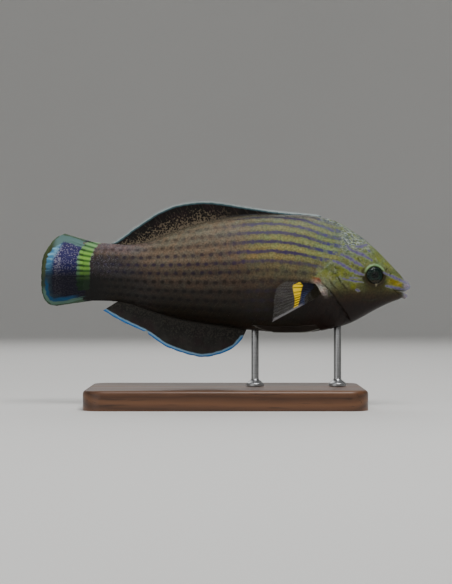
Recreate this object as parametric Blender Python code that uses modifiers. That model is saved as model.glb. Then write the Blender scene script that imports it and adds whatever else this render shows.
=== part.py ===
"""A life-size dusky wrasse on a display stand, as a museum shows it.

The fish looks along +X and stands upright along +Z, and its right side faces -Y. The origin is the
middle of the stand's underside. It is modelled in millimetres, and the last step scales it to metres.
"""

import math

import bmesh
import bpy
import numpy as np
from mathutils import Matrix, Vector
from mathutils.bvhtree import BVHTree

METRES_PER_MM = 0.001
GAP = 0.3

# The body's outline from the side: height over the floor against the distance along the fish.
BACK = [(-54.3, 67.0), (-47.4, 66.1), (-39.6, 65.7), (-32.1, 66.6), (-21.7, 70.3), (-13.0, 73.2),
        (-3.2, 75.5), (5.9, 76.9), (22.0, 77.8), (38.4, 76.8), (46.1, 74.6), (51.0, 71.6),
        (56.0, 68.2), (61.0, 63.7), (66.0, 58.7)]
BELLY = [(-54.3, 42.8), (-47.4, 42.7), (-40.0, 42.0), (-30.5, 38.9), (-21.7, 36.2), (-3.2, 32.9),
         (5.9, 31.5), (16.5, 30.4), (26.2, 30.0), (36.4, 30.4), (46.1, 32.3), (51.0, 33.9),
         (56.0, 36.5), (61.0, 39.3), (66.0, 41.8)]
# The level where the body is widest, and half its width there.
MIDLINE = [(-54.3, 55.0), (-25.0, 53.8), (2.0, 54.2), (20.0, 54.9), (31.0, 53.9), (40.0, 52.5),
           (52.0, 51.5), (66.0, 50.2)]
HALF_WIDTH = [(-54.3, 1.5), (-47.4, 3.1), (-39.6, 4.4), (-32.0, 5.6), (-21.7, 7.3), (-10.0, 8.9),
              (5.9, 10.0), (20.0, 10.3), (33.0, 10.1), (42.0, 9.6), (51.0, 8.4), (58.0, 6.9),
              (66.0, 5.0)]
# How pointed a section is, above and below the midline: under 1 is full, over 1 is keeled.
BACK_KEEL = [(-54.3, 1.15), (-10.0, 1.1), (25.0, 1.0), (45.0, 0.95), (66.0, 0.9)]
BELLY_KEEL = [(-54.3, 1.15), (-20.0, 1.15), (8.0, 1.0), (30.0, 0.9), (66.0, 1.0)]

TAIL_ROOT_X = -54.3
FACE_X = 64.0
STATION_STEP = 3.6
HEAD_STATION_STEP = 2.2
HEAD_X = 40.0
AROUND = 32

# The mouth: the crest of the lips, its inner edge and the pocket behind, each a bent loop.
LIP_CORNER = (67.2, 3.6, 47.3)
UPPER_LIP_TIP = (75.2, 48.8)
LOWER_LIP_TIP = (73.9, 44.4)
LIP_SWELL = 0.5
LIP_GROOVE = 0.25
FACE_ROWS = (0, 0.2, 0.4, 0.56, 0.68, 0.76, 0.83, 0.9, 0.96, 1)

# The tail sweeps gently to the fish's left, from SWEEP_X to the tip of the tail fin.
SWEEP_X = 5.0
TAIL_TIP_X = -75.2
SWEEP = 4.0

# Thin cuts that part the body: the gill opening, the mouth line, the tail stem and the gill plates.
GILL_CUT = [(43.8, 84.0), (43.4, 68.0), (42.6, 59.5), (39.5, 56.0), (36.2, 52.3), (39.2, 49.4),
            (42.5, 46.0), (45.7, 41.5), (48.2, 38.3), (50.8, 34.0), (53.5, 25.0)]
GILL_PLATE_FRONT = [(42.6, 59.5), (47.2, 57.4), (50.0, 52.5), (51.3, 47.0), (51.0, 42.0),
                    (48.2, 38.3)]
GILL_PLATE_DEPTH = 4.6
GILL_PLATE_MIDDLE = (46.0, 48.0)
JAW_CUT = [(72.0, 46.2), (69.5, 46.7), (67.0, 47.3), (64.5, 46.8), (62.2, 44.6), (60.6, 41.0),
           (59.6, 35.0)]
TAIL_STEM_X = -44.2
BEYOND_BODY = 14.0

EYE_AT = (60.2, 53.2)
EYE_RADIUS = 3.9
EYE_DEPTH = 2.4
EYE_BULGE = 1.1
ORBIT_RING = 4.15
ORBIT_RIM = 0.55
RIM_SINK = 0.2
NOSTRILS = [(65.2, 55.6), (66.7, 53.6)]
NOSTRIL_RADIUS = 0.5
TOOTH_LENGTH = 1.0
TOOTH_RADIUS = 0.35
TOOTH_SPREAD = 0.5

# Fins: the free edge from the side, with the ends of the root, how far the rays lean back, and rays.
DORSAL_EDGE = [(-46.6, 66.5), (-42.5, 68.8), (-38.1, 72.1), (-33.2, 75.4), (-28.3, 78.6),
               (-22.8, 81.1), (-18.0, 82.4), (-9.8, 83.4), (-2.2, 82.9), (5.9, 81.6), (21.5, 79.3),
               (31.4, 78.4), (38.0, 77.7)]
DORSAL_ROOT = (38.6, -39.5)
DORSAL_LEAN = (1.2, 7.1)
DORSAL_SPINES = 9
DORSAL_RAYS = 11
ANAL_EDGE = [(-49.8, 38.9), (-46.8, 37.0), (-41.4, 34.0), (-33.2, 30.2), (-28.9, 27.4),
             (-25.0, 24.7), (-19.6, 22.4), (-14.1, 20.7), (-9.2, 19.9), (-3.2, 20.9), (2.2, 23.1),
             (4.9, 25.2), (6.9, 27.6)]
ANAL_ROOT = (8.2, -43.4)
ANAL_LEAN = (1.6, 6.4)
ANAL_SPINES = 3
ANAL_RAYS = 11
CAUDAL_EDGE = [(-65.6, 70.2), (-68.9, 68.8), (-71.3, 66.3), (-74.4, 61.2), (-75.2, 55.5),
               (-75.1, 47.5), (-74.0, 43.6), (-71.9, 41.4), (-69.0, 40.8)]
CAUDAL_ROOT = (66.5, 43.3)
CAUDAL_RAYS = 13
PECTORAL_ROOT = [(35.4, 49.6), (37.4, 44.9)]
PECTORAL_EDGE = [(24.0, 50.6), (20.9, 48.6), (19.5, 44.6), (19.2, 40.6), (18.6, 34.4)]
PECTORAL_STAND_OFF = (2.2, 7.0)
PECTORAL_RAYS = 13
PELVIC_ROOT = [(35.2, 152.0), (37.6, 164.0)]
PELVIC_EDGE = [(11.0, 155.0), (13.5, 159.5), (19.5, 163.5)]
PELVIC_STAND_OFF = 1.5
PELVIC_RAYS = 6
FIN_ROWS = 7
RAY_SHARE = 0.4

# The stand: a flat base and two rods that reach up to the belly on the middle line.
BASE_LENGTH = 112.0
BASE_WIDTH = 70.0
BASE_HEIGHT = 8.0
BASE_CORNER = 8.0
BASE_EDGE = 1.5
ROD_RADIUS = 1.5
ROD_FOOT_RADIUS = 3.6
ROD_FOOT_HEIGHT = 1.2
ROD_AT = {"stand_rod_front": 45.5, "stand_rod_rear": 12.0}


def clear_scene():
    for thing in list(bpy.data.objects):
        bpy.data.objects.remove(thing)


def new_collection(name, shown=True):
    collection = bpy.data.collections.new(name)
    bpy.context.scene.collection.children.link(collection)
    collection.hide_render = not shown
    return collection


def paint(name, colour, roughness, metallic=0.0):
    material = bpy.data.materials.new(name)
    material.use_nodes = True
    shader = material.node_tree.nodes["Principled BSDF"]
    shader.inputs["Base Color"].default_value = (*colour, 1.0)
    shader.inputs["Roughness"].default_value = roughness
    shader.inputs["Metallic"].default_value = metallic
    return material


def through(points):
    """A smooth function of x through these points, which it takes in any order along x."""
    xs, values = np.array(sorted(points), float).T
    slopes = np.gradient(values, xs)

    def at(x):
        x = np.clip(np.asarray(x, float), xs[0], xs[-1])
        i = np.clip(np.searchsorted(xs, x, side="right") - 1, 0, len(xs) - 2)
        width = xs[i + 1] - xs[i]
        t = (x - xs[i]) / width
        rest = 1 - t
        ends = values[i] * (1 + 2 * t) * rest**2 + values[i + 1] * (3 - 2 * t) * t**2
        return ends + width * t * rest * (slopes[i] * rest - slopes[i + 1] * t)

    return at


def smooth(points, steps):
    """A smooth line through these points, with this many steps from each point to the next."""
    points = np.array(points, float)
    slopes = np.gradient(points, axis=0)
    line = []
    for i in range(len(points) - 1):
        for t in np.arange(steps) / steps:
            rest = 1 - t
            ends = points[i] * (1 + 2 * t) * rest**2 + points[i + 1] * (3 - 2 * t) * t**2
            line.append(ends + t * rest * (slopes[i] * rest - slopes[i + 1] * t))
    return np.array([*line, points[-1]])


def along(points):
    """A smooth curve through these points, as a function of the share of its length, 0 to 1."""
    line = smooth(points, 12)
    steps = np.linalg.norm(np.diff(line, axis=0), axis=1)
    shares = np.concatenate([[0], np.cumsum(steps)]) / steps.sum()
    return lambda share: np.array([np.interp(share, shares, column) for column in line.T])


back, belly, midline = through(BACK), through(BELLY), through(MIDLINE)
half_width = through(HALF_WIDTH)
back_keel, belly_keel = through(BACK_KEEL), through(BELLY_KEEL)


def swept(x, y):
    """The sideways place of a point once the tail has swept to the left."""
    share = np.clip((SWEEP_X - x) / (SWEEP_X - TAIL_TIP_X), 0, None)
    return y + SWEEP * share**2


def section(x, angle):
    """A point on the body at x, where the angle runs from the back, 0, round the left side."""
    up = np.cos(angle) > 0
    height = np.where(up, back(x) - midline(x), midline(x) - belly(x))
    keel = np.where(up, back_keel(x), belly_keel(x))
    y = half_width(x) * np.sign(np.sin(angle)) * np.abs(np.sin(angle)) ** keel
    return np.array([x + 0 * y, y, midline(x) + height * np.cos(angle)])


def flank(x, z):
    """Half the body's width at x and z."""
    up = z > midline(x)
    height = np.where(up, back(x) - midline(x), midline(x) - belly(x))
    keel = np.where(up, back_keel(x), belly_keel(x))
    rise = np.clip(np.abs(z - midline(x)) / height, 0, 1)
    return half_width(x) * (1 - rise**2) ** (keel / 2)


def lip_loop(angle, corner, top, bottom, spread):
    """A loop round the mouth: top and bottom are (x, z) in front, and corner is its side point."""
    forward = np.abs(np.cos(angle))
    upper = np.cos(angle) > 0
    tip_x = np.where(upper, top[0], bottom[0])
    tip_z = np.where(upper, top[1], bottom[1])
    return np.array([
        corner[0] + (tip_x - corner[0]) * forward,
        spread * np.sin(angle),
        corner[2] + (tip_z - corner[2]) * forward**1.5,
    ])


def face(share, angle):
    """The face in front of the last plain section, from it at share 0 to the lips' crest at 1."""
    start = section(FACE_X, angle)
    ahead = section(FACE_X + 1, angle) - start
    crest = lip_loop(angle, LIP_CORNER, UPPER_LIP_TIP, LOWER_LIP_TIP, LIP_CORNER[1])
    middle = start + ahead * 0.45 * (crest[0] - start[0])
    point = (1 - share) ** 2 * start + 2 * share * (1 - share) * middle + share**2 * crest
    roll = LIP_SWELL * math.sin(math.pi * max(0.0, (share - 0.78) / 0.24)) ** 2
    groove = LIP_GROOVE * max(0.0, 1 - abs(share - 0.76) / 0.1)
    lip = (roll - groove) * np.abs(np.cos(angle)) ** 0.7
    outward = np.array([0 * angle, np.sin(angle), np.cos(angle)])
    return point + lip * outward


def mouth_loops(angle):
    """The loops that run from the lips' crest round their undersides and into the mouth."""
    x, y, z = LIP_CORNER
    under = lip_loop(angle, (x - 0.1, 0, z), (74.5, 47.5), (73.7, 45.3), y - 0.25)
    edge = lip_loop(angle, (x - 0.3, 0, z), (72.2, 46.5), (72.4, 45.9), y - 0.7)
    pocket = lip_loop(angle, (x - 0.7, 0, z), (69.8, 47.3), (70.0, 45.3), y - 1.3)
    return [under, edge, pocket]


def stations():
    trunk = np.arange(TAIL_ROOT_X, HEAD_X, STATION_STEP)
    head = np.arange(HEAD_X, FACE_X, HEAD_STATION_STEP)
    return np.concatenate([trunk, head])


def add_object(name, mesh, collection, material=None):
    thing = bpy.data.objects.new(name, mesh)
    collection.objects.link(thing)
    if material:
        mesh.materials.append(material)
    return thing


def lofted(name, rings, collection, material=None):
    """A closed loft through rings of alike points, with both ends capped."""
    shape = bmesh.new()
    loops = [[shape.verts.new(Vector(p)) for p in ring] for ring in rings]
    for low, high in zip(loops, loops[1:]):
        for i in range(len(low)):
            j = (i + 1) % len(low)
            shape.faces.new((low[i], low[j], high[j], high[i]))
    shape.faces.new(loops[0])
    shape.faces.new(loops[-1])
    bmesh.ops.triangulate(shape, faces=shape.faces[:])
    bmesh.ops.recalc_face_normals(shape, faces=shape.faces[:])
    mesh = bpy.data.meshes.new(name)
    shape.to_mesh(mesh)
    shape.free()
    return add_object(name, mesh, collection, material)


def whole_body(collection, material):
    angle = np.arange(AROUND) * 2 * math.pi / AROUND
    rings = [section(x, angle) for x in stations()]
    rings += [face(share, angle) for share in FACE_ROWS]
    rings += mouth_loops(angle)
    rings = [np.array([ring[0], swept(ring[0], ring[1]), ring[2]]).T for ring in rings]
    return lofted("body", rings, collection, material)


def prism(name, outline, low, high, collection):
    """A cutter: an outline in x and z, from y = low to y = high."""
    shape = bmesh.new()
    verts = [shape.verts.new(Vector((x, low, z))) for x, z in outline]
    flat = shape.faces.new(verts)
    side = bmesh.ops.extrude_face_region(shape, geom=[flat])
    moved = [v for v in side["geom"] if isinstance(v, bmesh.types.BMVert)]
    bmesh.ops.translate(shape, verts=moved, vec=Vector((0, high - low, 0)))
    bmesh.ops.triangulate(shape, faces=shape.faces[:])
    bmesh.ops.recalc_face_normals(shape, faces=shape.faces[:])
    mesh = bpy.data.meshes.new(name)
    shape.to_mesh(mesh)
    shape.free()
    return add_object(name, mesh, collection)


def wall(name, points, low, high, collection, steps=2):
    """A thin cutter along a smooth line through points, GAP wide, from y = low to y = high."""
    line = smooth(points, steps)
    run = np.gradient(line, axis=0)
    run /= np.linalg.norm(run, axis=1)[:, None]
    aside = np.array([-run[:, 1], run[:, 0]]).T * GAP / 2
    outline = np.concatenate([line + aside, (line - aside)[::-1]])
    return prism(name, outline, low, high, collection)


def body_cutters(collection):
    far = BEYOND_BODY
    stem = [(TAIL_STEM_X, 80), (TAIL_STEM_X, 55), (TAIL_STEM_X, 30)]
    cutters = [
        wall("gill_cut", GILL_CUT, -far, far, collection),
        wall("jaw_cut", JAW_CUT, -far, far, collection),
        wall("stem_cut", stem, -far, far, collection),
    ]
    first, last = (GILL_CUT.index(GILL_PLATE_FRONT[end]) for end in (0, -1))
    plate = [*smooth(GILL_PLATE_FRONT, 2), *smooth(GILL_CUT, 2)[2 * last - 1:2 * first:-1]]
    for side, name in ((1, "left"), (-1, "right")):
        near, end = sorted((side * GILL_PLATE_DEPTH, side * (GILL_PLATE_DEPTH + GAP)))
        cutters.append(prism(f"plate_floor_{name}", plate, near, end, collection))
        near, end = sorted((side * (GILL_PLATE_DEPTH + GAP / 2), side * far))
        cutters.append(wall(f"plate_front_{name}", GILL_PLATE_FRONT, near, end, collection))
    return cutters


def boolean(target, tool, operation="DIFFERENCE"):
    """Cuts the tool from the target, or joins it on, and leaves the target in triangles."""
    step = target.modifiers.new(tool.name, "BOOLEAN")
    step.operation = operation
    step.solver = "EXACT"
    step.object = tool
    return in_triangles(baked(target))


def baked(thing):
    """Applies every modifier on the object."""
    graph = bpy.context.evaluated_depsgraph_get()
    mesh = bpy.data.meshes.new_from_object(thing.evaluated_get(graph))
    thing.modifiers.clear()
    thing.data = mesh
    return thing


def in_triangles(thing):
    shape = bmesh.new()
    shape.from_mesh(thing.data)
    bmesh.ops.triangulate(shape, faces=shape.faces[:])
    shape.to_mesh(thing.data)
    shape.free()
    return thing


def islands(shape):
    """The closed surfaces of a bmesh, as lists of faces."""
    left = set(shape.faces)
    found = []
    while left:
        edge = [left.pop()]
        island = list(edge)
        while edge:
            near = {f for face in edge for e in face.edges for f in e.link_faces} & left
            left -= near
            edge = list(near)
            island += edge
        found.append(island)
    return found


def part_from(source, name, seed, collection, material):
    """Takes from the source the closed surface with a vertex nearest to the seed point."""
    shape = bmesh.new()
    shape.from_mesh(source.data)
    point = Vector(seed)
    whole = islands(shape)
    nearest = min(whole, key=lambda fs: min((v.co - point).length for f in fs for v in f.verts))
    kept = set(nearest)
    bmesh.ops.delete(shape, geom=[f for f in shape.faces if f not in kept], context="FACES")
    mesh = bpy.data.meshes.new(name)
    shape.to_mesh(mesh)
    shape.free()
    mesh.materials.clear()
    return add_object(name, mesh, collection, material)


def skin_at(tree, side, x, z):
    """Where a line from one side meets the body at x and z: its place, turned to face outward."""
    start = Vector((x, side * 2 * BEYOND_BODY, z))
    point, normal, _, _ = tree.ray_cast(start, Vector((0, -side, 0)))
    turn = Vector((0, 0, 1)).rotation_difference(normal)
    return Matrix.Translation(point) @ turn.to_matrix().to_4x4()


def eyeball(name, place, collection, material=None, grow=0.0):
    shape = bmesh.new()
    bmesh.ops.create_uvsphere(shape, u_segments=20, v_segments=10, radius=1.0)
    wide, deep = EYE_RADIUS + grow, EYE_DEPTH + grow
    bmesh.ops.scale(shape, verts=shape.verts[:], vec=(wide, wide, deep))
    bmesh.ops.translate(shape, verts=shape.verts[:], vec=(0, 0, EYE_BULGE - EYE_DEPTH))
    bmesh.ops.transform(shape, verts=shape.verts[:], matrix=place)
    mesh = bpy.data.meshes.new(name)
    shape.to_mesh(mesh)
    shape.free()
    mesh.shade_smooth()
    return add_object(name, mesh, collection, material)


def orbit_rim(name, place, collection):
    """The raised ring of skin round the eye."""
    bpy.ops.mesh.primitive_torus_add(
        major_segments=24, minor_segments=8, major_radius=ORBIT_RING, minor_radius=ORBIT_RIM)
    rim = bpy.context.object
    rim.name = name
    rim.data.transform(place @ Matrix.Translation((0, 0, -RIM_SINK)))
    move_to(rim, collection)
    return rim


def nostril(name, place, collection):
    bpy.ops.mesh.primitive_uv_sphere_add(segments=10, ring_count=6, radius=NOSTRIL_RADIUS)
    pit = bpy.context.object
    pit.name = name
    pit.data.transform(place)
    move_to(pit, collection)
    return pit


def tooth(name, side, root, tip, collection):
    """A front tooth: a cone from its root in the gum to its tip, a little to one side."""
    shape = bmesh.new()
    bmesh.ops.create_cone(shape, cap_ends=True, segments=8, radius1=TOOTH_RADIUS,
                          radius2=0.08, depth=1.0)
    start = Vector((root[0], side * TOOTH_SPREAD, root[1]))
    end = Vector((tip[0], side * TOOTH_SPREAD * 0.9, tip[1]))
    turn = Vector((0, 0, 1)).rotation_difference(end - start).to_matrix()
    bmesh.ops.scale(shape, verts=shape.verts[:], vec=(1, 1, (end - start).length))
    bmesh.ops.rotate(shape, verts=shape.verts[:], matrix=turn)
    bmesh.ops.translate(shape, verts=shape.verts[:], vec=(start + end) / 2)
    mesh = bpy.data.meshes.new(name)
    shape.to_mesh(mesh)
    shape.free()
    return add_object(name, mesh, collection)


def move_to(thing, collection):
    for old in list(thing.users_collection):
        old.objects.unlink(thing)
    collection.objects.link(thing)


def body_parts(fish, cutters, paints):
    """Cuts the whole body, keeps each named piece and finishes the head and the jaw."""
    body = whole_body(cutters, paints["skin"])
    tree = BVHTree.FromObject(body, bpy.context.evaluated_depsgraph_get())
    for cutter in body_cutters(cutters):
        boolean(body, cutter)
    head = part_from(body, "head", (57.0, 0.0, 66.8), fish, paints["head"])
    jaw = part_from(body, "lower_jaw", (66.0, 0.0, 41.3), fish, paints["head"])
    part_from(body, "torso", (22.0, 0.0, 77.8), fish, paints["skin"])
    part_from(body, "tail_stem", (-50.0, 0.0, 66.4), fish, paints["skin"])
    top, bottom = UPPER_LIP_TIP, LOWER_LIP_TIP
    for side, name in ((1, "left"), (-1, "right")):
        cheek = skin_at(tree, side, *GILL_PLATE_MIDDLE).translation
        part_from(body, f"gill_cover_{name}", cheek, fish, paints["head"])
        place = skin_at(tree, side, *EYE_AT)
        boolean(head, orbit_rim(f"orbit_rim_{name}", place, cutters), "UNION")
        boolean(head, eyeball(f"socket_{name}", place, cutters, grow=GAP))
        eyeball(f"eye_{name}", place, fish, paints["eye"])
        for number, (x, z) in enumerate(NOSTRILS):
            pit = skin_at(tree, side, x, z)
            boolean(head, nostril(f"nostril_{name}_{number}", pit, cutters))
        upper = tooth(f"upper_tooth_{name}", side, (top[0] - 1.6, top[1] - 0.8),
                      (top[0] - 1.2, top[1] - 1.3 - TOOTH_LENGTH), cutters)
        boolean(head, upper, "UNION")
        lower = tooth(f"lower_tooth_{name}", side, (bottom[0] - 1.0, bottom[1] + 0.6),
                      (bottom[0] - 0.6, bottom[1] + 1.0 + TOOTH_LENGTH), cutters)
        boolean(jaw, lower, "UNION")
    largest_only(head)
    largest_only(jaw)


def largest_only(thing):
    """Keeps the closed surface that spans the most room, and drops scraps."""
    shape = bmesh.new()
    shape.from_mesh(thing.data)
    kept = set(max(islands(shape), key=len))
    bmesh.ops.delete(shape, geom=[f for f in shape.faces if f not in kept], context="FACES")
    shape.to_mesh(thing.data)
    shape.free()


def ray_columns(rays):
    """Places across a fin for its rays, each with the foot, crest and foot of its ridge."""
    columns = []
    pitch = 1 / (rays - 1)
    for ray in range(rays):
        for shift, crest in ((-RAY_SHARE / 2, False), (0, True), (RAY_SHARE / 2, False)):
            place = (ray + shift) * pitch
            if 0 <= place <= 1:
                columns.append((place, crest))
    return columns


def fin(name, sheet, rays, root_mm, web_mm, ray_mm, collection, material, rows=FIN_ROWS):
    """A fin: a thin membrane on its sheet, with the rays as ridges, thick at the root."""
    shape = bmesh.new()
    layer = shape.verts.layers.deform.verify()
    thickest = max(root_mm, ray_mm)
    grid = []
    for place, crest in ray_columns(rays):
        column = []
        for row in range(rows + 1):
            share = row / rows
            x, y, z = sheet(place, share)
            vert = shape.verts.new(Vector((x, swept(x, y), z)))
            body_mm = ray_mm if crest else web_mm
            edge = 1 - 0.25 * share if crest else 1
            flesh = max(0.0, 1 - share * 4) ** 1.5
            vert[layer][0] = (body_mm * edge * (1 - flesh) + root_mm * flesh) / thickest
            column.append(vert)
        grid.append(column)
    for one, two in zip(grid, grid[1:]):
        for row in range(rows):
            shape.faces.new((one[row], two[row], two[row + 1], one[row + 1]))
    bmesh.ops.triangulate(shape, faces=shape.faces[:])
    mesh = bpy.data.meshes.new(name)
    shape.to_mesh(mesh)
    shape.free()
    thing = add_object(name, mesh, collection, material)
    thing.vertex_groups.new(name="thickness")
    skin = thing.modifiers.new("thickness", "SOLIDIFY")
    skin.thickness = thickest
    skin.offset = 0
    skin.vertex_group = "thickness"
    skin.thickness_vertex_group = 0.0
    return outward(baked(thing))


def outward(thing):
    shape = bmesh.new()
    shape.from_mesh(thing.data)
    bmesh.ops.recalc_face_normals(shape, faces=shape.faces[:])
    shape.to_mesh(thing.data)
    shape.free()
    return thing


def median_sheet(root, lean, edge, rim, side, wave):
    """The sheet of a fin on the middle line: rim is the body's outline and side is up or down."""
    edge_at = through(edge)

    def sheet(place, share):
        root_x = root[0] + (root[1] - root[0]) * place
        tip_x = root_x - (lean[0] + (lean[1] - lean[0]) * place)
        root_z = float(rim(root_x)) + side * GAP
        x = root_x + (tip_x - root_x) * share
        z = root_z + (float(edge_at(tip_x)) - root_z) * share
        y = wave * math.sin(2 * math.pi * (1.2 * place + 0.1)) * share**2
        return x, y, z

    return sheet


def caudal_sheet():
    edge_at = along(CAUDAL_EDGE)

    def sheet(place, share):
        root_z = CAUDAL_ROOT[0] + (CAUDAL_ROOT[1] - CAUDAL_ROOT[0]) * place
        tip_x, tip_z = edge_at(place)
        root_x = TAIL_ROOT_X - GAP
        y = 0.8 * math.sin(2 * math.pi * place) * share**2
        return root_x + (tip_x - root_x) * share, y, root_z + (tip_z - root_z) * share

    return sheet


def pectoral_sheet(side):
    root_at, edge_at = along(PECTORAL_ROOT), along(PECTORAL_EDGE)

    def sheet(place, share):
        start, end = root_at(place), edge_at(place)
        x, z = start + (end - start) * share
        tip = PECTORAL_STAND_OFF[0] + (PECTORAL_STAND_OFF[1] - PECTORAL_STAND_OFF[0]) * place
        stand_off = 1.25 + tip * share**1.2
        return x, side * (float(flank(x, z)) + stand_off), z

    return sheet


def pelvic_sheet(side):
    root_at, edge_at = along(PELVIC_ROOT), along(PELVIC_EDGE)

    def sheet(place, share):
        (root_x, root_turn), (tip_x, tip_turn) = root_at(place), edge_at(place)
        x = root_x + (tip_x - root_x) * share
        angle = math.radians(root_turn + (tip_turn - root_turn) * share)
        _, y, z = section(x, np.array(angle))
        stand_off = 0.95 + (PELVIC_STAND_OFF - 0.95) * share
        return x, side * (float(y) + stand_off * 0.45), float(z) - stand_off

    return sheet


def fins(fish, paints):
    rays = DORSAL_SPINES + DORSAL_RAYS
    dorsal = median_sheet(DORSAL_ROOT, DORSAL_LEAN, DORSAL_EDGE, back, 1, 0.7)
    fin("dorsal_fin", dorsal, rays, 1.0, 0.5, 0.9, fish, paints["fin"])
    anal = median_sheet(ANAL_ROOT, ANAL_LEAN, ANAL_EDGE, belly, -1, 0.7)
    fin("anal_fin", anal, ANAL_SPINES + ANAL_RAYS, 1.0, 0.5, 0.9, fish, paints["fin"])
    fin("caudal_fin", caudal_sheet(), CAUDAL_RAYS, 2.4, 0.5, 0.95, fish, paints["tail"])
    for side, name in ((1, "left"), (-1, "right")):
        fin(f"pectoral_fin_{name}", pectoral_sheet(side), PECTORAL_RAYS, 1.8, 0.5, 0.8, fish,
            paints["pectoral"])
        fin(f"pelvic_fin_{name}", pelvic_sheet(side), PELVIC_RAYS, 1.2, 0.5, 0.9, fish,
            paints["pectoral"], rows=6)


def stand_base(fish, material):
    bpy.ops.mesh.primitive_cube_add(size=1)
    base = bpy.context.object
    base.name = "stand_base"
    move_to(base, fish)
    shape = bmesh.new()
    shape.from_mesh(base.data)
    bmesh.ops.translate(shape, verts=shape.verts[:], vec=(0, 0, 0.5))
    bmesh.ops.scale(shape, verts=shape.verts[:], vec=(BASE_LENGTH, BASE_WIDTH, BASE_HEIGHT))
    upright = [e for e in shape.edges if abs(e.verts[0].co.z - e.verts[1].co.z) > 1]
    bmesh.ops.bevel(shape, geom=upright, offset=BASE_CORNER, segments=6, affect="EDGES",
                    profile=0.5)
    top = [e for e in shape.edges if all(v.co.z > BASE_HEIGHT - 0.1 for v in e.verts)]
    bmesh.ops.bevel(shape, geom=top, offset=BASE_EDGE, segments=2, affect="EDGES", profile=0.5)
    shape.to_mesh(base.data)
    shape.free()
    base.data.materials.append(material)


def stand_rod(name, x, fish, material):
    """A turned rod with a foot, whose top follows the belly that it carries."""
    low = BASE_HEIGHT + GAP
    top = float(belly(x)) - GAP
    profile = [(0, top), (ROD_RADIUS, top), (ROD_RADIUS, low + 2 * ROD_FOOT_HEIGHT),
               (ROD_FOOT_RADIUS, low + ROD_FOOT_HEIGHT), (ROD_FOOT_RADIUS, low), (0, low)]
    mesh = bpy.data.meshes.new(name)
    mesh.from_pydata([(r, 0, z) for r, z in profile],
                     [(i, i + 1) for i in range(len(profile) - 1)], [])
    rod = add_object(name, mesh, fish, material)
    turn = rod.modifiers.new("turn", "SCREW")
    turn.steps = turn.render_steps = 20
    turn.use_merge_vertices = True
    turn.merge_threshold = 0.0001
    baked(rod)
    for vert in rod.data.vertices:
        if vert.co.z > top - 0.1:
            vert.co.z = float(belly(x + vert.co.x)) - GAP
    rod.location.x = x
    outward(rod)
    rod.data.shade_smooth()
    rod.data.set_sharp_from_angle(angle=math.radians(40))


def hide_tools(cutters):
    for tool in cutters.objects:
        tool.display_type = "WIRE"
        tool.hide_render = True


def to_metres():
    """Scales every finished shape from millimetres, and leaves its object unscaled."""
    for thing in bpy.data.objects:
        thing.data.transform(Matrix.Scale(METRES_PER_MM, 4))
        thing.location *= METRES_PER_MM


def main():
    clear_scene()
    fish = new_collection("dusky_wrasse")
    cutters = new_collection("cutters", shown=False)
    paints = {
        "skin": paint("olive_skin", (0.16, 0.13, 0.08), 0.4),
        "head": paint("green_head", (0.17, 0.2, 0.06), 0.35),
        "eye": paint("eye", (0.01, 0.05, 0.04), 0.08),
        "fin": paint("dark_fin", (0.03, 0.025, 0.02), 0.45),
        "tail": paint("tail_fin", (0.06, 0.08, 0.16), 0.45),
        "pectoral": paint("clear_fin", (0.25, 0.24, 0.2), 0.4),
        "wood": paint("dark_wood", (0.06, 0.03, 0.015), 0.45),
        "rod": paint("steel_rod", (0.55, 0.55, 0.56), 0.3, 1.0),
    }
    body_parts(fish, cutters, paints)
    fins(fish, paints)
    stand_base(fish, paints["wood"])
    for name, x in ROD_AT.items():
        stand_rod(name, x, fish, paints["rod"])
    hide_tools(cutters)
    to_metres()


main()
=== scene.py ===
"""The looks of a life-size dusky wrasse on its display stand: skin, scales, fins, eyes and finishes.

The fish looks along +X and its right side faces -Y, towards the camera. Shapes are worked out in
millimetres, as on the drawing of the fish, and every mesh is written in metres.
"""

import math

import bmesh
import bpy
import numpy as np
from mathutils import Matrix, Vector


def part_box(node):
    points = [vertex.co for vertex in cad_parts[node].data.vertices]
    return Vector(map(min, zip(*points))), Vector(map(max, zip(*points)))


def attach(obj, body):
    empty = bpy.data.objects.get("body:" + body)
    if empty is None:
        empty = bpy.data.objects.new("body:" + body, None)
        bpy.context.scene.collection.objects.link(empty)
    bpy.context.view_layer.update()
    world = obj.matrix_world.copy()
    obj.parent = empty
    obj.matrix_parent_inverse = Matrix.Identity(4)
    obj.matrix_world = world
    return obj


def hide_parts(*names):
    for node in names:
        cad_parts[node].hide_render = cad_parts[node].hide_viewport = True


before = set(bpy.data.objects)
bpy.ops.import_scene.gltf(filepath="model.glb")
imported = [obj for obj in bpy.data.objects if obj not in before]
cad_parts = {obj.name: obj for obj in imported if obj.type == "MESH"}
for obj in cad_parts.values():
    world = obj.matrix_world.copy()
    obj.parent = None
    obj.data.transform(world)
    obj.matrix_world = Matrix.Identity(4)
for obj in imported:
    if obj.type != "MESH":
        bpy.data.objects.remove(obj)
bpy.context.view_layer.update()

METRES_PER_MM = 0.001

# The body's outline from the side: height over the floor against the distance along the fish.
BACK = [(-54.3, 67.0), (-47.4, 66.1), (-39.6, 65.7), (-32.1, 66.6), (-21.7, 70.3), (-13.0, 73.2),
        (-3.2, 75.5), (5.9, 76.9), (22.0, 77.8), (38.4, 76.8), (46.1, 74.6), (51.0, 71.6),
        (56.0, 68.2), (61.0, 63.7), (66.0, 58.7)]
BELLY = [(-54.3, 42.8), (-47.4, 42.7), (-40.0, 42.0), (-30.5, 38.9), (-21.7, 36.2), (-3.2, 32.9),
         (5.9, 31.5), (16.5, 30.4), (26.2, 30.0), (36.4, 30.4), (46.1, 32.3), (51.0, 33.9),
         (56.0, 36.5), (61.0, 39.3), (66.0, 41.8)]
MIDLINE = [(-54.3, 55.0), (-25.0, 53.8), (2.0, 54.2), (20.0, 54.9), (31.0, 53.9), (40.0, 52.5),
           (52.0, 51.5), (66.0, 50.2)]
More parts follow.
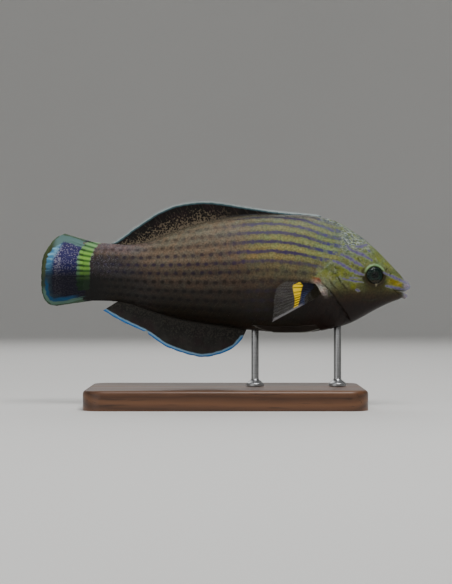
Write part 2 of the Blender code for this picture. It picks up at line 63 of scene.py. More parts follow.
HALF_WIDTH = [(-54.3, 1.5), (-47.4, 3.1), (-39.6, 4.4), (-32.0, 5.6), (-21.7, 7.3), (-10.0, 8.9),
              (5.9, 10.0), (20.0, 10.3), (33.0, 10.1), (42.0, 9.6), (51.0, 8.4), (58.0, 6.9),
              (66.0, 5.0)]
BACK_KEEL = [(-54.3, 1.15), (-10.0, 1.1), (25.0, 1.0), (45.0, 0.95), (66.0, 0.9)]
BELLY_KEEL = [(-54.3, 1.15), (-20.0, 1.15), (8.0, 1.0), (30.0, 0.9), (66.0, 1.0)]
TAIL_ROOT_X = -54.3
TAIL_END_X = -58.2
SHOULDER_X = 34.0
FACE_X = 64.0

# The mouth, as loops round it.
LIP_CORNER = (67.2, 3.6, 47.3)
UPPER_LIP_TIP = (75.2, 48.8)
LOWER_LIP_TIP = (73.9, 44.4)
LIP_SWELL = 0.5
LIP_GROOVE = 0.25

# The tail sweeps gently to the fish's left.
SWEEP_X = 5.0
TAIL_TIP_X = -75.2
SWEEP = 4.0

# The head's relief: the gill opening, the folds of the cheek, the eye and the nostrils.
GILL_EDGE = [(42.6, 59.5), (39.5, 56.0), (36.2, 52.3), (39.2, 49.4), (42.5, 46.0), (45.7, 41.5),
             (48.2, 38.3), (50.8, 34.0), (53.5, 29.0)]
GILL_PROFILE = [(-4.0, 0.0), (-1.4, -0.2), (-0.3, -0.42), (0.05, 0.12), (0.4, 0.3), (3.0, 0.15),
                (7.0, 0.0)]
CHEEK_EDGE = [(42.6, 59.5), (47.2, 57.4), (50.0, 52.5), (51.3, 47.0), (51.0, 42.0), (48.2, 38.3)]
CHEEK_FOLDS = [
    [(42.2, 54.8), (44.5, 53.4), (46.0, 50.8), (47.7, 48.7), (49.4, 46.7)],
    [(41.3, 51.7), (43.3, 48.9), (45.7, 45.8), (48.0, 43.2)],
    [(45.7, 52.4), (49.1, 51.3), (52.1, 50.8), (55.5, 50.2)],
    [(43.4, 56.6), (45.6, 55.8), (48.4, 55.2)],
    [(54.0, 43.6), (58.5, 42.8), (62.0, 43.6)],
]
EYE_AT = (60.2, 53.2)
EYE_RADIUS = 3.9
EYE_DEPTH = 2.4
EYE_BULGE = 1.1
EYE_OPENING = 3.3
ORBIT_RISE = 0.34
ORBIT_DEPTH = 2.3
EYE_PROFILE = [(0.0, 0.66), (0.5, 0.64), (0.95, 0.56), (1.25, 0.42), (1.42, 0.34), (1.5, 0.42),
               (1.7, 0.5), (2.1, 0.46), (2.6, 0.32), (3.0, 0.12), (3.35, -0.2), (3.6, -0.6),
               (3.75, -1.1), (3.5, -1.9), (2.8, -2.6), (1.6, -3.1)]
NOSTRILS = [(65.2, 55.6), (66.7, 53.6)]
NOSTRIL_RADIUS = 0.45
NOSTRIL_DEPTH = 0.5
NOSTRIL_RIM = 0.16
FOLD_DEPTH = 0.2
FOLD_HALF = 0.32
FOLD_LIP = 0.08
CHEEK_GROOVE = 0.14
CHEEK_GROOVE_HALF = 0.45

# The skin is a row of rings, closer together over the head. The last of them line the mouth.
SKIN_AROUND = 256
TRUNK_STEP = 0.72
HEAD_STEP = 0.3
FACE_RINGS = 42
LAST_RAISED_RING = 30

# Scales lie in rows along the body. A row's and a column's pitch change along the fish.
ROW_PITCH = [(-58.0, 2.9), (-39.6, 3.1), (-20.0, 3.5), (6.7, 3.95), (30.3, 3.8), (42.5, 3.35),
             (52.0, 3.1)]
COLUMN_PITCH = [(-58.0, 2.8), (-47.0, 3.1), (-38.0, 3.4), (-20.0, 3.5), (-5.0, 3.7), (52.0, 3.7)]
FIRST_SPOT_X = -37.6
SCALE_FRONT = 0.75
SCALE_REAR = 0.66
SCALE_HALF = 0.95
SCALE_SLOPE = 0.04
SCALE_LENGTH_MM = 3.6
SCALE_SINK = 0.11
SCALE_CURL = 0.03
SCALE_EDGE_MM = 0.09
SCALE_CREASE = 28
SCALE_ROWS = range(-9, 10)
SCALE_COLUMNS = range(-7, 26)
SCALE_ROW_MARGIN = 0.4
LAST_SCALE_X = -57.0
SIZE_SPREAD = 0.03
TURN_SPREAD = 0.035
SCALE_SEED = 7
SKIN_SINK = 0.08

# The rows are laid round the body by a table, with a value for each step along it and round it.
LAY_STEP = 0.5
GIRTH_STEP = 0.25

# Fins, as on the drawing.
DORSAL_EDGE = [(-46.6, 66.15), (-42.5, 68.8), (-38.1, 72.1), (-33.2, 75.4), (-28.3, 78.6),
               (-22.8, 81.1), (-18.0, 82.4), (-9.8, 83.4), (-2.2, 82.9), (5.9, 81.6), (21.5, 79.3),
               (31.4, 78.4), (38.0, 77.7)]
DORSAL_ROOT = (38.6, -39.5)
DORSAL_LEAN = (1.2, 7.1)
DORSAL_SPINES = 9
DORSAL_RAYS = 11
ANAL_EDGE = [(-49.8, 38.9), (-46.8, 37.0), (-41.4, 34.0), (-33.2, 30.2), (-28.9, 27.4),
             (-25.0, 24.7), (-19.6, 22.4), (-14.1, 20.7), (-9.2, 19.9), (-3.2, 20.9), (2.2, 23.1),
             (4.9, 25.2), (6.9, 27.6)]
ANAL_ROOT = (8.2, -43.4)
ANAL_LEAN = (1.6, 6.4)
ANAL_SPINES = 3
ANAL_RAYS = 11
ANAL_NICK_X = -32.4
ANAL_NICK_DEPTH = 1.0
ANAL_NICK_HALF = 0.7
CAUDAL_EDGE = [(-65.6, 70.2), (-68.9, 68.8), (-71.3, 66.3), (-74.4, 61.2), (-75.2, 55.5),
               (-75.1, 47.5), (-74.0, 43.6), (-71.9, 41.4), (-69.0, 40.8)]
CAUDAL_ROOT = (66.5, 43.3)
CAUDAL_RAYS = 13
PECTORAL_ROOT = [(35.4, 49.6), (37.4, 44.9)]
PECTORAL_EDGE = [(24.0, 50.6), (20.9, 48.6), (19.5, 44.6), (19.2, 40.6), (18.6, 34.4)]
PECTORAL_STAND_OFF = (2.2, 7.0)
PECTORAL_RAYS = 13
PELVIC_ROOT = [(35.2, 152.0), (37.6, 164.0)]
PELVIC_EDGE = [(11.0, 155.0), (13.5, 159.5), (19.5, 163.5)]
PELVIC_STAND_OFF = 1.15
PELVIC_RAYS = 6

# How thick a fin's web is at its root, between the rays and at its edge, and how thick its rays
# are at the root and at the tip.
MEDIAN_WEB = (1.1, 0.2, 0.14)
MEDIAN_RAY = (0.34, 0.13)
MEDIAN_WAVE = 0.7
CAUDAL_WEB = (2.0, 0.24, 0.15)
CAUDAL_RAY = (0.42, 0.13)
CAUDAL_WAVE = 0.8
CAUDAL_OUTLINE_X = -55.0
PECTORAL_WEB = (1.3, 0.12, 0.08)
PECTORAL_RAY = (0.24, 0.07)
PELVIC_WEB = (0.45, 0.14, 0.1)
PELVIC_RAY = (0.3, 0.09)

# The stand.
BASE_CORNER = 8.0
BASE_EDGE = 1.5
ROD_RADIUS = 1.5
ROD_FOOT_RADIUS = 3.6
ROD_AT = {"stand_rod_front": 45.5, "stand_rod_rear": 12.0}
BASE_CREASE = 35
ROD_CREASE = 40

# The studio: a round floor that curves up into a wall, three soft lights and a dim room light.
# A light has its place, what it points at, its size and its watts.
FLOOR_RADIUS = 1300.0
WALL_CURVE = 700.0
WALL_TOP = 2200.0
LIGHTS = {
    "key_light": ((180, -420, 860), (10, 0, 50), 520, 7.5),
    "fill_light": ((-560, -640, 330), (0, 0, 50), 700, 1.0),
    "back_light": ((-80, 700, 640), (0, 0, 50), 600, 2.5),
}
ROOM_COLOUR = (0.9, 0.92, 0.95, 1.0)
ROOM_STRENGTH = 0.22

# The camera looks level at the fish's right side, from far off.
CAMERA_LENS = 120.0
CAMERA_SENSOR = 36.0
CAMERA_AT = (0.2, -791.0, 46.4)


def through(points):
    """A smooth function of x through these points."""
    xs, values = np.array(sorted(points), float).T
    slopes = np.gradient(values, xs)

    def at(x):
        x = np.clip(np.asarray(x, float), xs[0], xs[-1])
        i = np.clip(np.searchsorted(xs, x, side="right") - 1, 0, len(xs) - 2)
        width = xs[i + 1] - xs[i]
        t = (x - xs[i]) / width
        rest = 1 - t
        ends = values[i] * (1 + 2 * t) * rest**2 + values[i + 1] * (3 - 2 * t) * t**2
        return ends + width * t * rest * (slopes[i] * rest - slopes[i + 1] * t)

    return at


def smooth(points, steps):
    """A smooth line through these points, with this many steps from each point to the next."""
    points = np.array(points, float)
    slopes = np.gradient(points, axis=0)
    line = []
    for i in range(len(points) - 1):
        for t in np.arange(steps) / steps:
            rest = 1 - t
            ends = points[i] * (1 + 2 * t) * rest**2 + points[i + 1] * (3 - 2 * t) * t**2
            line.append(ends + t * rest * (slopes[i] * rest - slopes[i + 1] * t))
    return np.array([*line, points[-1]])


def along(points):
    """A smooth curve through these points, as a function of the share of its length, 0 to 1."""
    line = smooth(points, 12)
    steps = np.linalg.norm(np.diff(line, axis=0), axis=1)
    shares = np.concatenate([[0], np.cumsum(steps)]) / steps.sum()
    return lambda share: np.array([np.interp(share, shares, column) for column in line.T])


def rise(value, low, high):
    """Goes smoothly from 0 at low to 1 at high."""
    t = np.clip((np.asarray(value, float) - low) / (high - low), 0, 1)
    return t * t * (3 - 2 * t)


back, belly, midline = through(BACK), through(BELLY), through(MIDLINE)
half_width = through(HALF_WIDTH)
back_keel, belly_keel = through(BACK_KEEL), through(BELLY_KEEL)
row_pitch = through(ROW_PITCH)


def swept(points):
    """The points once the tail has swept to the left."""
    moved = np.array(points, float)
    share = np.clip((SWEEP_X - moved[..., 0]) / (SWEEP_X - TAIL_TIP_X), 0, None)
    moved[..., 1] += SWEEP * share**2
    return moved


def section(x, angle):
    """A point on the body at x, where the angle runs from the back, 0, round the left side."""
    up = np.cos(angle) > 0
    height = np.where(up, back(x) - midline(x), midline(x) - belly(x))
    keel = np.where(up, back_keel(x), belly_keel(x))
    thin = 1 - 0.85 * rise(-x, -TAIL_ROOT_X, -TAIL_END_X)
    y = thin * half_width(x) * np.sign(np.sin(angle)) * np.abs(np.sin(angle)) ** keel
    return np.stack([x + 0 * y, y, midline(x) + height * np.cos(angle)], axis=-1)


def flank(x, z):
    """Half the body's width at x and z."""
    up = z > midline(x)
    height = np.where(up, back(x) - midline(x), midline(x) - belly(x))
    keel = np.where(up, back_keel(x), belly_keel(x))
    climb = np.clip(np.abs(z - midline(x)) / height, 0, 1)
    return half_width(x) * (1 - climb**2) ** (keel / 2)


def lip_loop(angle, corner, top, bottom, spread):
    """A loop round the mouth: top and bottom are (x, z) in front, and corner is its side point."""
    forward = np.abs(np.cos(angle))
    upper = np.cos(angle) > 0
    tip_x = np.where(upper, top[0], bottom[0])
    tip_z = np.where(upper, top[1], bottom[1])
    x = corner[0] + (tip_x - corner[0]) * forward
    z = corner[2] + (tip_z - corner[2]) * forward**1.5
    return np.stack([x, spread * np.sin(angle), z], axis=-1)


def face(share, angle):
    """The face in front of the last plain section, from it at share 0 to the lips' crest at 1."""
    start = section(FACE_X, angle)
    ahead = section(FACE_X + 1, angle) - start
    crest = lip_loop(angle, LIP_CORNER, UPPER_LIP_TIP, LOWER_LIP_TIP, LIP_CORNER[1])
    middle = start + ahead * 0.45 * (crest[:, :1] - start[:, :1])
    point = (1 - share) ** 2 * start + 2 * share * (1 - share) * middle + share**2 * crest
    roll = LIP_SWELL * math.sin(math.pi * max(0.0, (share - 0.78) / 0.24)) ** 2
    groove = LIP_GROOVE * max(0.0, 1 - abs(share - 0.76) / 0.1)
    lip = (roll - groove) * np.abs(np.cos(angle)) ** 0.7
    outward = np.stack([0 * angle, np.sin(angle), np.cos(angle)], axis=-1)
    return point + lip[:, None] * outward


def mouth_loops(angle):
    """The loops that run from the lips' crest round their undersides and back into the mouth."""
    x, y, z = LIP_CORNER
    crest = face(1.0, angle)
    under = lip_loop(angle, (x - 0.1, 0, z), (74.5, 47.5), (73.7, 45.3), y - 0.25)
    edge = lip_loop(angle, (x - 0.3, 0, z), (72.2, 46.5), (72.4, 45.9), y - 0.7)
    pocket = lip_loop(angle, (x - 0.7, 0, z), (69.8, 47.3), (70.0, 45.3), y - 1.3)
    loops = np.array([crest, under, edge, pocket])
    line = smooth(loops.reshape(4, -1), 5)
    return list(line[1:].reshape(-1, len(angle), 3))


def near_line(points, x, z):
    """How far each place is from a line, which side it is on, and how far along, as a share."""
    line = smooth(points, 6)
    runs = np.diff(line, axis=0)
    lengths = np.linalg.norm(runs, axis=1)
    before = np.concatenate([[0], np.cumsum(lengths)])
    best = np.full(x.shape, 1e9)
    side, share = np.zeros(x.shape), np.zeros(x.shape)
    for start, run, length, passed in zip(line, runs, lengths, before):
        t = np.clip(((x - start[0]) * run[0] + (z - start[1]) * run[1]) / length**2, 0, 1)
        dx, dz = x - start[0] - run[0] * t, z - start[1] - run[1] * t
        distance = np.hypot(dx, dz)
        closer = distance < best
        best = np.where(closer, distance, best)
        side = np.where(closer, np.sign(run[0] * dz - run[1] * dx), side)
        share = np.where(closer, (passed + t * length) / before[-1], share)
    return best, side, share


def unit(vectors):
    """The same directions, each made one long."""
    return vectors / np.maximum(np.linalg.norm(vectors, axis=-1, keepdims=True), 1e-9)


def put(name, data):
    """A new object with this data, in the scene."""
    thing = bpy.data.objects.new(name, data)
    bpy.context.scene.collection.objects.link(thing)
    return thing


def mesh_object(name, points, faces, material):
    """An object from points in millimetres and faces, with its mesh in metres."""
    mesh = bpy.data.meshes.new(name)
    mesh.from_pydata((np.asarray(points) * METRES_PER_MM).tolist(), [], faces)
    mesh.update()
    mesh.materials.append(material)
    mesh.shade_smooth()
    return put(name, mesh)


def store(thing, name, values):
    """Keeps a number, a vector or a colour at each vertex, for the materials to read."""
    values = np.asarray(values, np.float32)
    kind, field = {1: ("FLOAT", "value"), 2: ("FLOAT_VECTOR", "vector")}[values.ndim]
    if name == "ground":
        kind, field = "FLOAT_COLOR", "color"
        values = np.concatenate([values, np.ones((len(values), 1), np.float32)], axis=1)
    layer = thing.data.attributes.new(name, kind, "POINT")
    layer.data.foreach_set(field, np.ascontiguousarray(values).ravel())


def positions(thing):
    """The object's vertices in millimetres."""
    places = np.zeros(len(thing.data.vertices) * 3, np.float32)
    thing.data.vertices.foreach_get("co", places)
    return places.reshape(-1, 3).astype(float) / METRES_PER_MM


def move_to(thing, points):
    """Moves the object's vertices to these points in millimetres."""
    thing.data.vertices.foreach_set("co", (points * METRES_PER_MM).astype(np.float32).ravel())


class Wires:
    """Short calls that add nodes to a tree and wire them up."""

    def __init__(self, tree):
        self.tree = tree

    def plug(self, value, socket):
        """Links a node's output to a socket, or sets the socket to a plain value."""
        if isinstance(value, bpy.types.NodeSocket):
            self.tree.links.new(value, socket)
        else:
            socket.default_value = value

    def add(self, kind, inputs=(), **settings):
        """Adds a node. Its inputs are given by name, or in order."""
        node = self.tree.nodes.new(kind)
        for key, value in settings.items():
            setattr(node, key, value)
        named = inputs.items() if isinstance(inputs, dict) else enumerate(inputs)
        for key, value in named:
            self.plug(value, node.inputs[key])
        return node

    def sum(self, operation, *values):
        """One step of arithmetic."""
        return self.add("ShaderNodeMath", values, operation=operation).outputs[0]

    def step(self, value, low, high, top=1.0):
        """Goes smoothly from 0 at low to top at high."""
        inputs = {"Value": value, "From Min": low, "From Max": high, "To Min": 0.0, "To Max": top}
        node = self.add("ShaderNodeMapRange", inputs, interpolation_type="SMOOTHSTEP")
        return node.outputs[0]

    def blend(self, share, one, two, way="MIX"):
        """A mix of two colours."""
        node = self.add("ShaderNodeMix", data_type="RGBA", blend_type=way)
        for value, socket in zip((share, one, two), (0, 6, 7)):
            self.plug(value, node.inputs[socket])
        return node.outputs[2]

    def dyed(self, colour, dye, share=1.0):
        """The colour multiplied by another one, as a dye does."""
        return self.blend(share, colour, dye, "MULTIPLY")

    def stored(self, name):
        """What was kept at the vertices under this name."""
        return self.add("ShaderNodeAttribute", attribute_name=name)

    def parts(self, vector):
        """A vector's three numbers."""
        return self.add("ShaderNodeSeparateXYZ", [vector]).outputs

    def noise(self, place, scale, detail=2.0, rough=0.5):
        """Soft noise from 0 to 1, with this many patches to the metre."""
        inputs = {"Vector": place, "Scale": scale, "Detail": detail, "Roughness": rough}
        return self.add("ShaderNodeTexNoise", inputs).outputs[0]

    def cells(self, place, scale):
        """How far it is to the middle of the nearest cell, with this many cells to the metre."""
        inputs = {"Vector": place, "Scale": scale}
        return self.add("ShaderNodeTexVoronoi", inputs).outputs["Distance"]

    def stretched(self, place, scale):
        """The place with each direction scaled on its own, for a grain that runs one way."""
        return self.add("ShaderNodeMapping", {"Vector": place, "Scale": scale}).outputs[0]

    def here(self):
        """The place on the object, in metres."""
        return self.add("ShaderNodeTexCoord").outputs["Object"]


def new_finish(name, **values):
    """A material, its wires and its shader, with plain values set on the shader itself."""
    material = bpy.data.materials.new(name)
    material.use_nodes = True
    wires = Wires(material.node_tree)
    shader = material.node_tree.nodes["Principled BSDF"]
    for key, value in values.items():
        shader.inputs[key.replace("_", " ")].default_value = value
    return material, wires, shader


def bump(wires, shader, height, strength, distance_mm):
    """Raises the surface a little by a height from 0 to 1."""
    inputs = {"Strength": strength, "Distance": distance_mm * METRES_PER_MM, "Height": height}
    wires.plug(wires.add("ShaderNodeBump", inputs).outputs[0], shader.inputs["Normal"])


def tint(red, green, blue):
    """A colour as it shows on a screen, 0 to 255, as the shader wants it."""
    shown = np.array([red, green, blue]) / 255
    return np.where(shown < 0.04045, shown / 12.92, ((shown + 0.055) / 1.055) ** 2.4)


def solid(colour):
    """A colour as a node's socket wants it."""
    return (*[float(part) for part in colour], 1.0)


# Ground colours of the skin.
BACK_TAN = tint(127, 117, 99)
# A painted sheen for the ridge of the back.
RIDGE_SHEEN_GREY = tint(130, 129, 122)
OLIVE = tint(100, 87, 73)
UMBER = tint(68, 58, 48)
# The dark flank, belly and lower stem colours are partly the fish's own colour and partly painted
# shade.
SHADED_DARK_FLANK = tint(40, 33, 27)
SHADED_DARK_BELLY = tint(29, 26, 20)
BELLY_BROWN = tint(42, 34, 26)
STEM_PALE = tint(122, 104, 106)
STEM_GREY = tint(52, 48, 50)
SHADED_STEM_DARK = tint(28, 25, 21)
SHADED_STEM_BLACK = tint(14, 13, 12)
YELLOW_GREEN = tint(119, 121, 74)
AMBER = tint(124, 105, 66)
SHOULDER_OLIVE = tint(92, 88, 64)
SHOULDER_GREEN = tint(112, 127, 88)
DUSK_GREEN = tint(44, 46, 26)
DUSK_BROWN = tint(40, 33, 27)
NAPE = tint(90, 100, 92)
FOREHEAD = tint(105, 116, 72)
CHEEK = tint(94, 101, 60)
CHEEK_LOW = tint(50, 40, 22)
GILL_PALE = tint(124, 128, 106)
SNOUT_YELLOW = tint(114, 107, 18)
LIP = tint(134, 129, 150)
THROAT = tint(25, 15, 11)
GILL_ORANGE = tint(140, 70, 50)
GILL_PINK = tint(172, 164, 154)
GILL_DARK = tint(18, 13, 10)
GILL_RIM = tint(112, 122, 96)
ORBIT_GREEN = tint(120, 150, 104)
ORBIT_BROWN = tint(44, 38, 18)
ORBIT_GLINT = tint(124, 116, 92)
CHEEK_YELLOW = tint(98, 106, 20)
# Painted shade in the cheek folds' creases, and painted highlights beside them.
CREASE_SHADE = tint(34, 34, 20)
FOLD_HIGHLIGHT = tint(124, 130, 100)
MOSS = tint(116, 124, 26)
MOSS_DARK = tint(58, 60, 34)
MOSS_PALE = tint(132, 138, 116)

# Marks on the skin. An ink darkens the ground that it lies on.
BROWN_INK = (0.2, 0.16, 0.15)
SLATE_INK = (0.25, 0.23, 0.34)
LINE_VIOLET = tint(60, 49, 86)
LINE_BLUE = tint(68, 64, 118)
STROKE_BLUE = tint(82, 72, 112)
STROKE_PALE = tint(106, 99, 134)
STROKE_RIM = tint(120, 128, 104)
SCRAWL_BLUE = tint(48, 50, 86)
SCRAWL_YELLOW = tint(110, 122, 26)
SCRAWL_PALE = tint(166, 176, 166)
STEM_SPECK = tint(108, 102, 116)

# Dyes are multiplied with the colour below them.
GAP_DYE = (1.5, 1.47, 1.4, 1.0)
PATCH_DYE = (0.8, 0.74, 0.7, 1.0)
COOL_DYE = (0.92, 1.02, 1.04, 1.0)
WARM_DYE = (1.1, 0.98, 0.9, 1.0)
BLOT_DYE = (0.42, 0.4, 0.42, 1.0)

# The green bar on the tail's root: painted light in the middle of each block and painted shade towards
# its rays, painted highlights at its front edge, and painted shade below.
GREEN_LIT = tint(140, 194, 82)
GREEN_LIT_PALE = tint(132, 172, 138)
GREEN_SHADE = tint(86, 138, 54)
GREEN_SHADE_PALE = tint(88, 126, 98)
GREEN_TICK_HIGHLIGHT = tint(136, 152, 128)
GREEN_SEAM = tint(34, 56, 22)
GREEN_LOW_SHADE = tint(16, 36, 17)

# On the skin the bar's stripes spread like the tail's rays, above and below the tail's middle.
# Their middle, shift and pitch are in metres.
FAN_MIDDLE = 0.0545
FAN_SPREAD = 27.0
FAN_WIDTH = 2.466
FAN_SHIFT = -0.012
FAN_PITCH = 0.001933

# The tail fin.
FIELD_LOW = tint(38, 38, 98)
FIELD_HIGH = tint(60, 57, 104)
FIELD_SPECK = tint(122, 120, 158)
FIELD_SPECK_PALE = tint(178, 172, 178)
BAND_BLUE = tint(70, 130, 170)
BAND_CYAN = tint(142, 200, 224)
# Painted shade for the tail fin's lower part.
TAIL_LOW_SHADE = tint(13, 12, 15)
MARGIN_LINE = tint(20, 60, 90)
MARGIN_TOP = tint(104, 136, 134)
MARGIN_MIDDLE = tint(58, 84, 76)
MARGIN_REAR = tint(66, 74, 46)
MARGIN_REAR_LOW = tint(40, 52, 42)
MARGIN_LOW = tint(74, 100, 88)
MARGIN_RIM = tint(44, 56, 30)
MARGIN_RIM_TOP = tint(82, 100, 62)

# The dorsal and the anal fin: ground, root, flecks, and the inner and outer line along the edge.
DORSAL_COLOURS = (tint(17, 13, 11), tint(84, 76, 62), tint(96, 85, 69), tint(58, 84, 90),
                  tint(150, 160, 160))
ANAL_COLOURS = (tint(30, 29, 27), tint(24, 21, 17), tint(50, 48, 43), tint(122, 158, 184),
                tint(42, 114, 184))
FIN_STAIN = tint(46, 22, 30)

# The pectoral and the pelvic fins.
WEB_GREY = tint(86, 84, 82)
RAY_GREY = tint(102, 100, 98)
PECTORAL_ROOT_BROWN = tint(28, 24, 12)
PECTORAL_NAVY = tint(4, 6, 26)
PECTORAL_BLUE = tint(76, 90, 140)
PECTORAL_OCHRE = tint(58, 46, 4)
PECTORAL_YELLOW = tint(246, 208, 10)
PECTORAL_LEAD = tint(122, 120, 122)
PELVIC_DARK = tint(20, 15, 11)
PELVIC_DUSK = tint(32, 26, 21)
PELVIC_BONE = tint(58, 52, 46)
PELVIC_LEAD = tint(132, 132, 126)

# The eyes and the teeth.
IRIS_DARK = tint(1, 13, 11)
IRIS_TEAL = tint(10, 40, 32)
IRIS_BROWN = tint(46, 38, 20)
IRIS_RIM = tint(10, 20, 15)
PUPIL_RING = tint(60, 80, 50)
PUPIL = tint(2, 6, 5)
CORNEA_CLEAR = tint(255, 255, 255)
CORNEA_HAZE = tint(246, 250, 250)
TOOTH_ROOT = tint(190, 168, 140)
TOOTH_TIP = tint(232, 226, 208)

# The stand and the studio.
WALNUT = tint(72, 45, 28)
WALNUT_LIGHT = tint(112, 74, 46)
WALNUT_PORE = tint(40, 24, 16)
STEEL = tint(150, 151, 152)
STEEL_LIGHT = tint(196, 197, 198)
PAPER = tint(226, 225, 222)
PAPER_LIGHT = tint(232, 231, 228)

# The shader values that several finishes share.
FIN_GLOSS = {"Coat_Weight": 0.03, "Coat_Roughness": 0.3, "Specular_IOR_Level": 0.15}
HEAD_LINES = [
    ([(43.3, 58.9), (46.3, 57.8), (49.1, 56.0), (52.6, 54.3), (55.5, 53.3)], 0.5),
    ([(46.5, 61.5), (50.0, 59.9), (52.9, 58.0), (55.5, 56.6)], 0.5),
    ([(49.1, 65.1), (50.3, 63.5), (53.5, 62.1), (56.7, 60.7), (59.0, 59.0)], 0.5),
    ([(52.6, 64.7), (55.0, 64.9), (57.6, 65.7)], 0.45),
    ([(57.5, 63.4), (58.3, 62.8)], 0.4),
    ([(63.7, 54.3), (66.0, 53.3), (68.9, 52.1), (71.8, 50.8), (73.2, 49.9)], 0.42),
    ([(64.8, 48.9), (66.6, 48.5), (68.9, 48.0), (71.2, 47.5), (72.6, 47.2)], 0.4),
    ([(45.7, 52.4), (49.1, 51.3), (52.1, 50.8), (55.5, 50.2)], 0.26),
    ([(50.0, 52.2), (55.0, 51.9)], 0.2),
    ([(52.6, 47.3), (53.9, 46.8)], 0.36),
]


def mixed(one, two, share):
    """A blend of two colours at each place."""
    share = np.clip(share, 0, 1)[:, None]
    return one * (1 - share) + two * share


def level_of(x, z):
    """The height on the body, from -1 at the belly through 0 at the middle to 1 at the back."""
    span = np.where(z > midline(x), back(x) - midline(x), midline(x) - belly(x))
    return np.clip((z - midline(x)) / span, -1, 1)


def tail_green(x, z):
    """How far a place lies in the green bar across the root of the tail fin, from 0 to 1."""
    centre = np.interp(z, [44, 52, 60, 64, 67], [-57.9, -58.0, -57.7, -56.2, -53.4])
    return rise(-np.abs(x - centre), -3.4, -2.0) * rise(z, 44.5, 51.0) * rise(-z, -68.6, -65.5)


def trunk_colour(x, level):
    """The colour of the trunk: tan on the back, darker down the side and belly (partly the fish's own
    colour, partly painted shade), yellow-green in front, with painted shade darkening the upper body
    towards the back.
    """
    colour = mixed(np.tile(OLIVE, (len(x), 1)), BACK_TAN, rise(level, 0.45, 0.9))
    # Darker down the side and on the belly: partly the fish's own colour, partly painted shade.
    colour = mixed(colour, UMBER, rise(level, 0.42, 0.0))
    colour = mixed(colour, SHADED_DARK_FLANK, rise(level, -0.12, -0.42))
    colour = mixed(colour, SHADED_DARK_BELLY, rise(level, -0.4, -0.75))
    colour = mixed(colour, BELLY_BROWN, rise(level, -0.82, -0.98) * rise(x, 2, 14))
    front = rise(x, 2, 22)
    colour = mixed(colour, SHOULDER_OLIVE, front * rise(level, -0.25, 0.1))
    colour = mixed(colour, YELLOW_GREEN, front * rise(level, 0.12, 0.38))
    amber = rise(-np.abs(x - 18), -14, -6) * rise(-np.abs(level - 0.3), -0.2, -0.05)
    colour = mixed(colour, AMBER, 0.5 * amber)
    colour = mixed(colour, SHOULDER_GREEN, 0.7 * rise(x, 24, 42) * rise(level, 0.25, 0.5))
    # A painted sheen: pale grey along the ridge of the back in front.
    colour = mixed(colour, RIDGE_SHEEN_GREY, front * rise(level, 0.84, 0.97))
    stem = rise(-x, 22, 46)
    colour = mixed(colour, STEM_PALE, stem * rise(level, 0.5, 0.85))
    colour = mixed(colour, STEM_GREY, stem * rise(level, 0.8, 0.35))
    # The lower tail stem is darkened almost to black: partly its own colour, partly painted shade.
    colour = mixed(colour, SHADED_STEM_DARK, stem * rise(level, 0.15, -0.35))
    colour = mixed(colour, SHADED_STEM_BLACK, rise(-x, 44, 54) * rise(level, 0.15, -0.3))
    # Painted shade: the upper body is darkened towards the back, to even out the light from above.
    return colour * (1 - 0.3 * rise(level, 0.4, 0.8))[:, None]


def dorsal_dusk(x, z):
    """How near a place is to the dorsal fin's root, where the back is flecked with dark."""
    deep = 0.8 + 0.4 * rise(x, -5, 10) * rise(-x, -38, -26)
    return rise(z - back(x), -deep - 0.4, -deep + 0.2) * rise(x, -41, -37) * rise(-x, -39, -35)


def orbit_dusk(x, z):
    """The dusky area behind and below the eye."""
    away = np.hypot(x - EYE_AT[0], z - EYE_AT[1])
    return rise(-away, -9.0, -4.6) * rise(z, 57.5, 54.0) * rise(-x, -67.0, -63.5)


def head_colour(colour, x, z, gill):
    """The trunk's colour with the head's colours laid over it."""
    nape = np.maximum(rise(x, 41, 50), rise(x, 35, 41) * rise(level_of(x, z), 0.88, 0.97))
    colour = mixed(colour, NAPE, nape * rise(z, 59, 66))
    above = rise(z, 57.5, 60.5)
    head = rise(gill, -0.3, 0.3) * (1 - above) + rise(x, 41, 54) * above
    colour = mixed(colour, CHEEK, head * rise(z, 64, 58))
    flap = rise(z, 44.5, 48) * rise(z, 56, 53)
    colour = mixed(colour, GILL_PALE, 0.6 * head * rise(-x, -46, -41) * flap)
    colour = mixed(colour, FOREHEAD, head * rise(x, 50, 60) * rise(z, 54.5, 57.5))
    colour = mixed(colour, CHEEK_LOW, head * rise(z, 51.4, 44.8) * rise(x, 73.5, 70.5))
    colour = mixed(colour, THROAT, np.maximum(head, rise(x, 26, 36)) * rise(z, 47.0, 40.5))
    patch = rise(-np.hypot((x - 68.4) / 4.0, (z - 50.1 + 0.3 * (x - 68.4)) / 1.5), -1.1, -0.6)
    colour = mixed(colour, SNOUT_YELLOW, patch)
    colour = mixed(colour, LIP, rise(x, 71.0, 73.4) * rise(z, 43.2, 44.6))
    away = np.hypot(x - EYE_AT[0], z - EYE_AT[1])
    colour = mixed(colour, ORBIT_BROWN, 0.85 * orbit_dusk(x, z))
    colour = mixed(colour, ORBIT_BROWN, rise(-away, -4.9, -4.2))
    ring = rise(-np.abs(away - 4.05), -0.75, -0.25)
    colour = mixed(colour, ORBIT_GREEN, ring * rise(z, 53.5, 56))
    glint = rise(-np.hypot((x - 60.7) / 0.55, (z - 49.5) / 1.3), -1.0, -0.3)
    colour = mixed(colour, ORBIT_GLINT, glint)
    spot = rise(-np.hypot(x - 51.4, z - 48.7), -1.6, -0.7)
    colour = mixed(colour, CHEEK_YELLOW, spot)
    # Each cheek fold gets painted shade in its crease and a painted highlight along its side.
    for fold in CHEEK_FOLDS:
        distance, side, share = near_line(fold, x, z)
        ends = rise(share, 0, 0.2) * rise(-share, -1, -0.85)
        beside = rise(-np.abs(distance * side - 0.85), -0.5, -0.1)
        colour = mixed(colour, FOLD_HIGHLIGHT, 0.4 * beside * ends * rise(z, 47, 50))
        colour = mixed(colour, CREASE_SHADE, 0.85 * rise(-distance, -0.5, -0.15) * ends)
    return colour


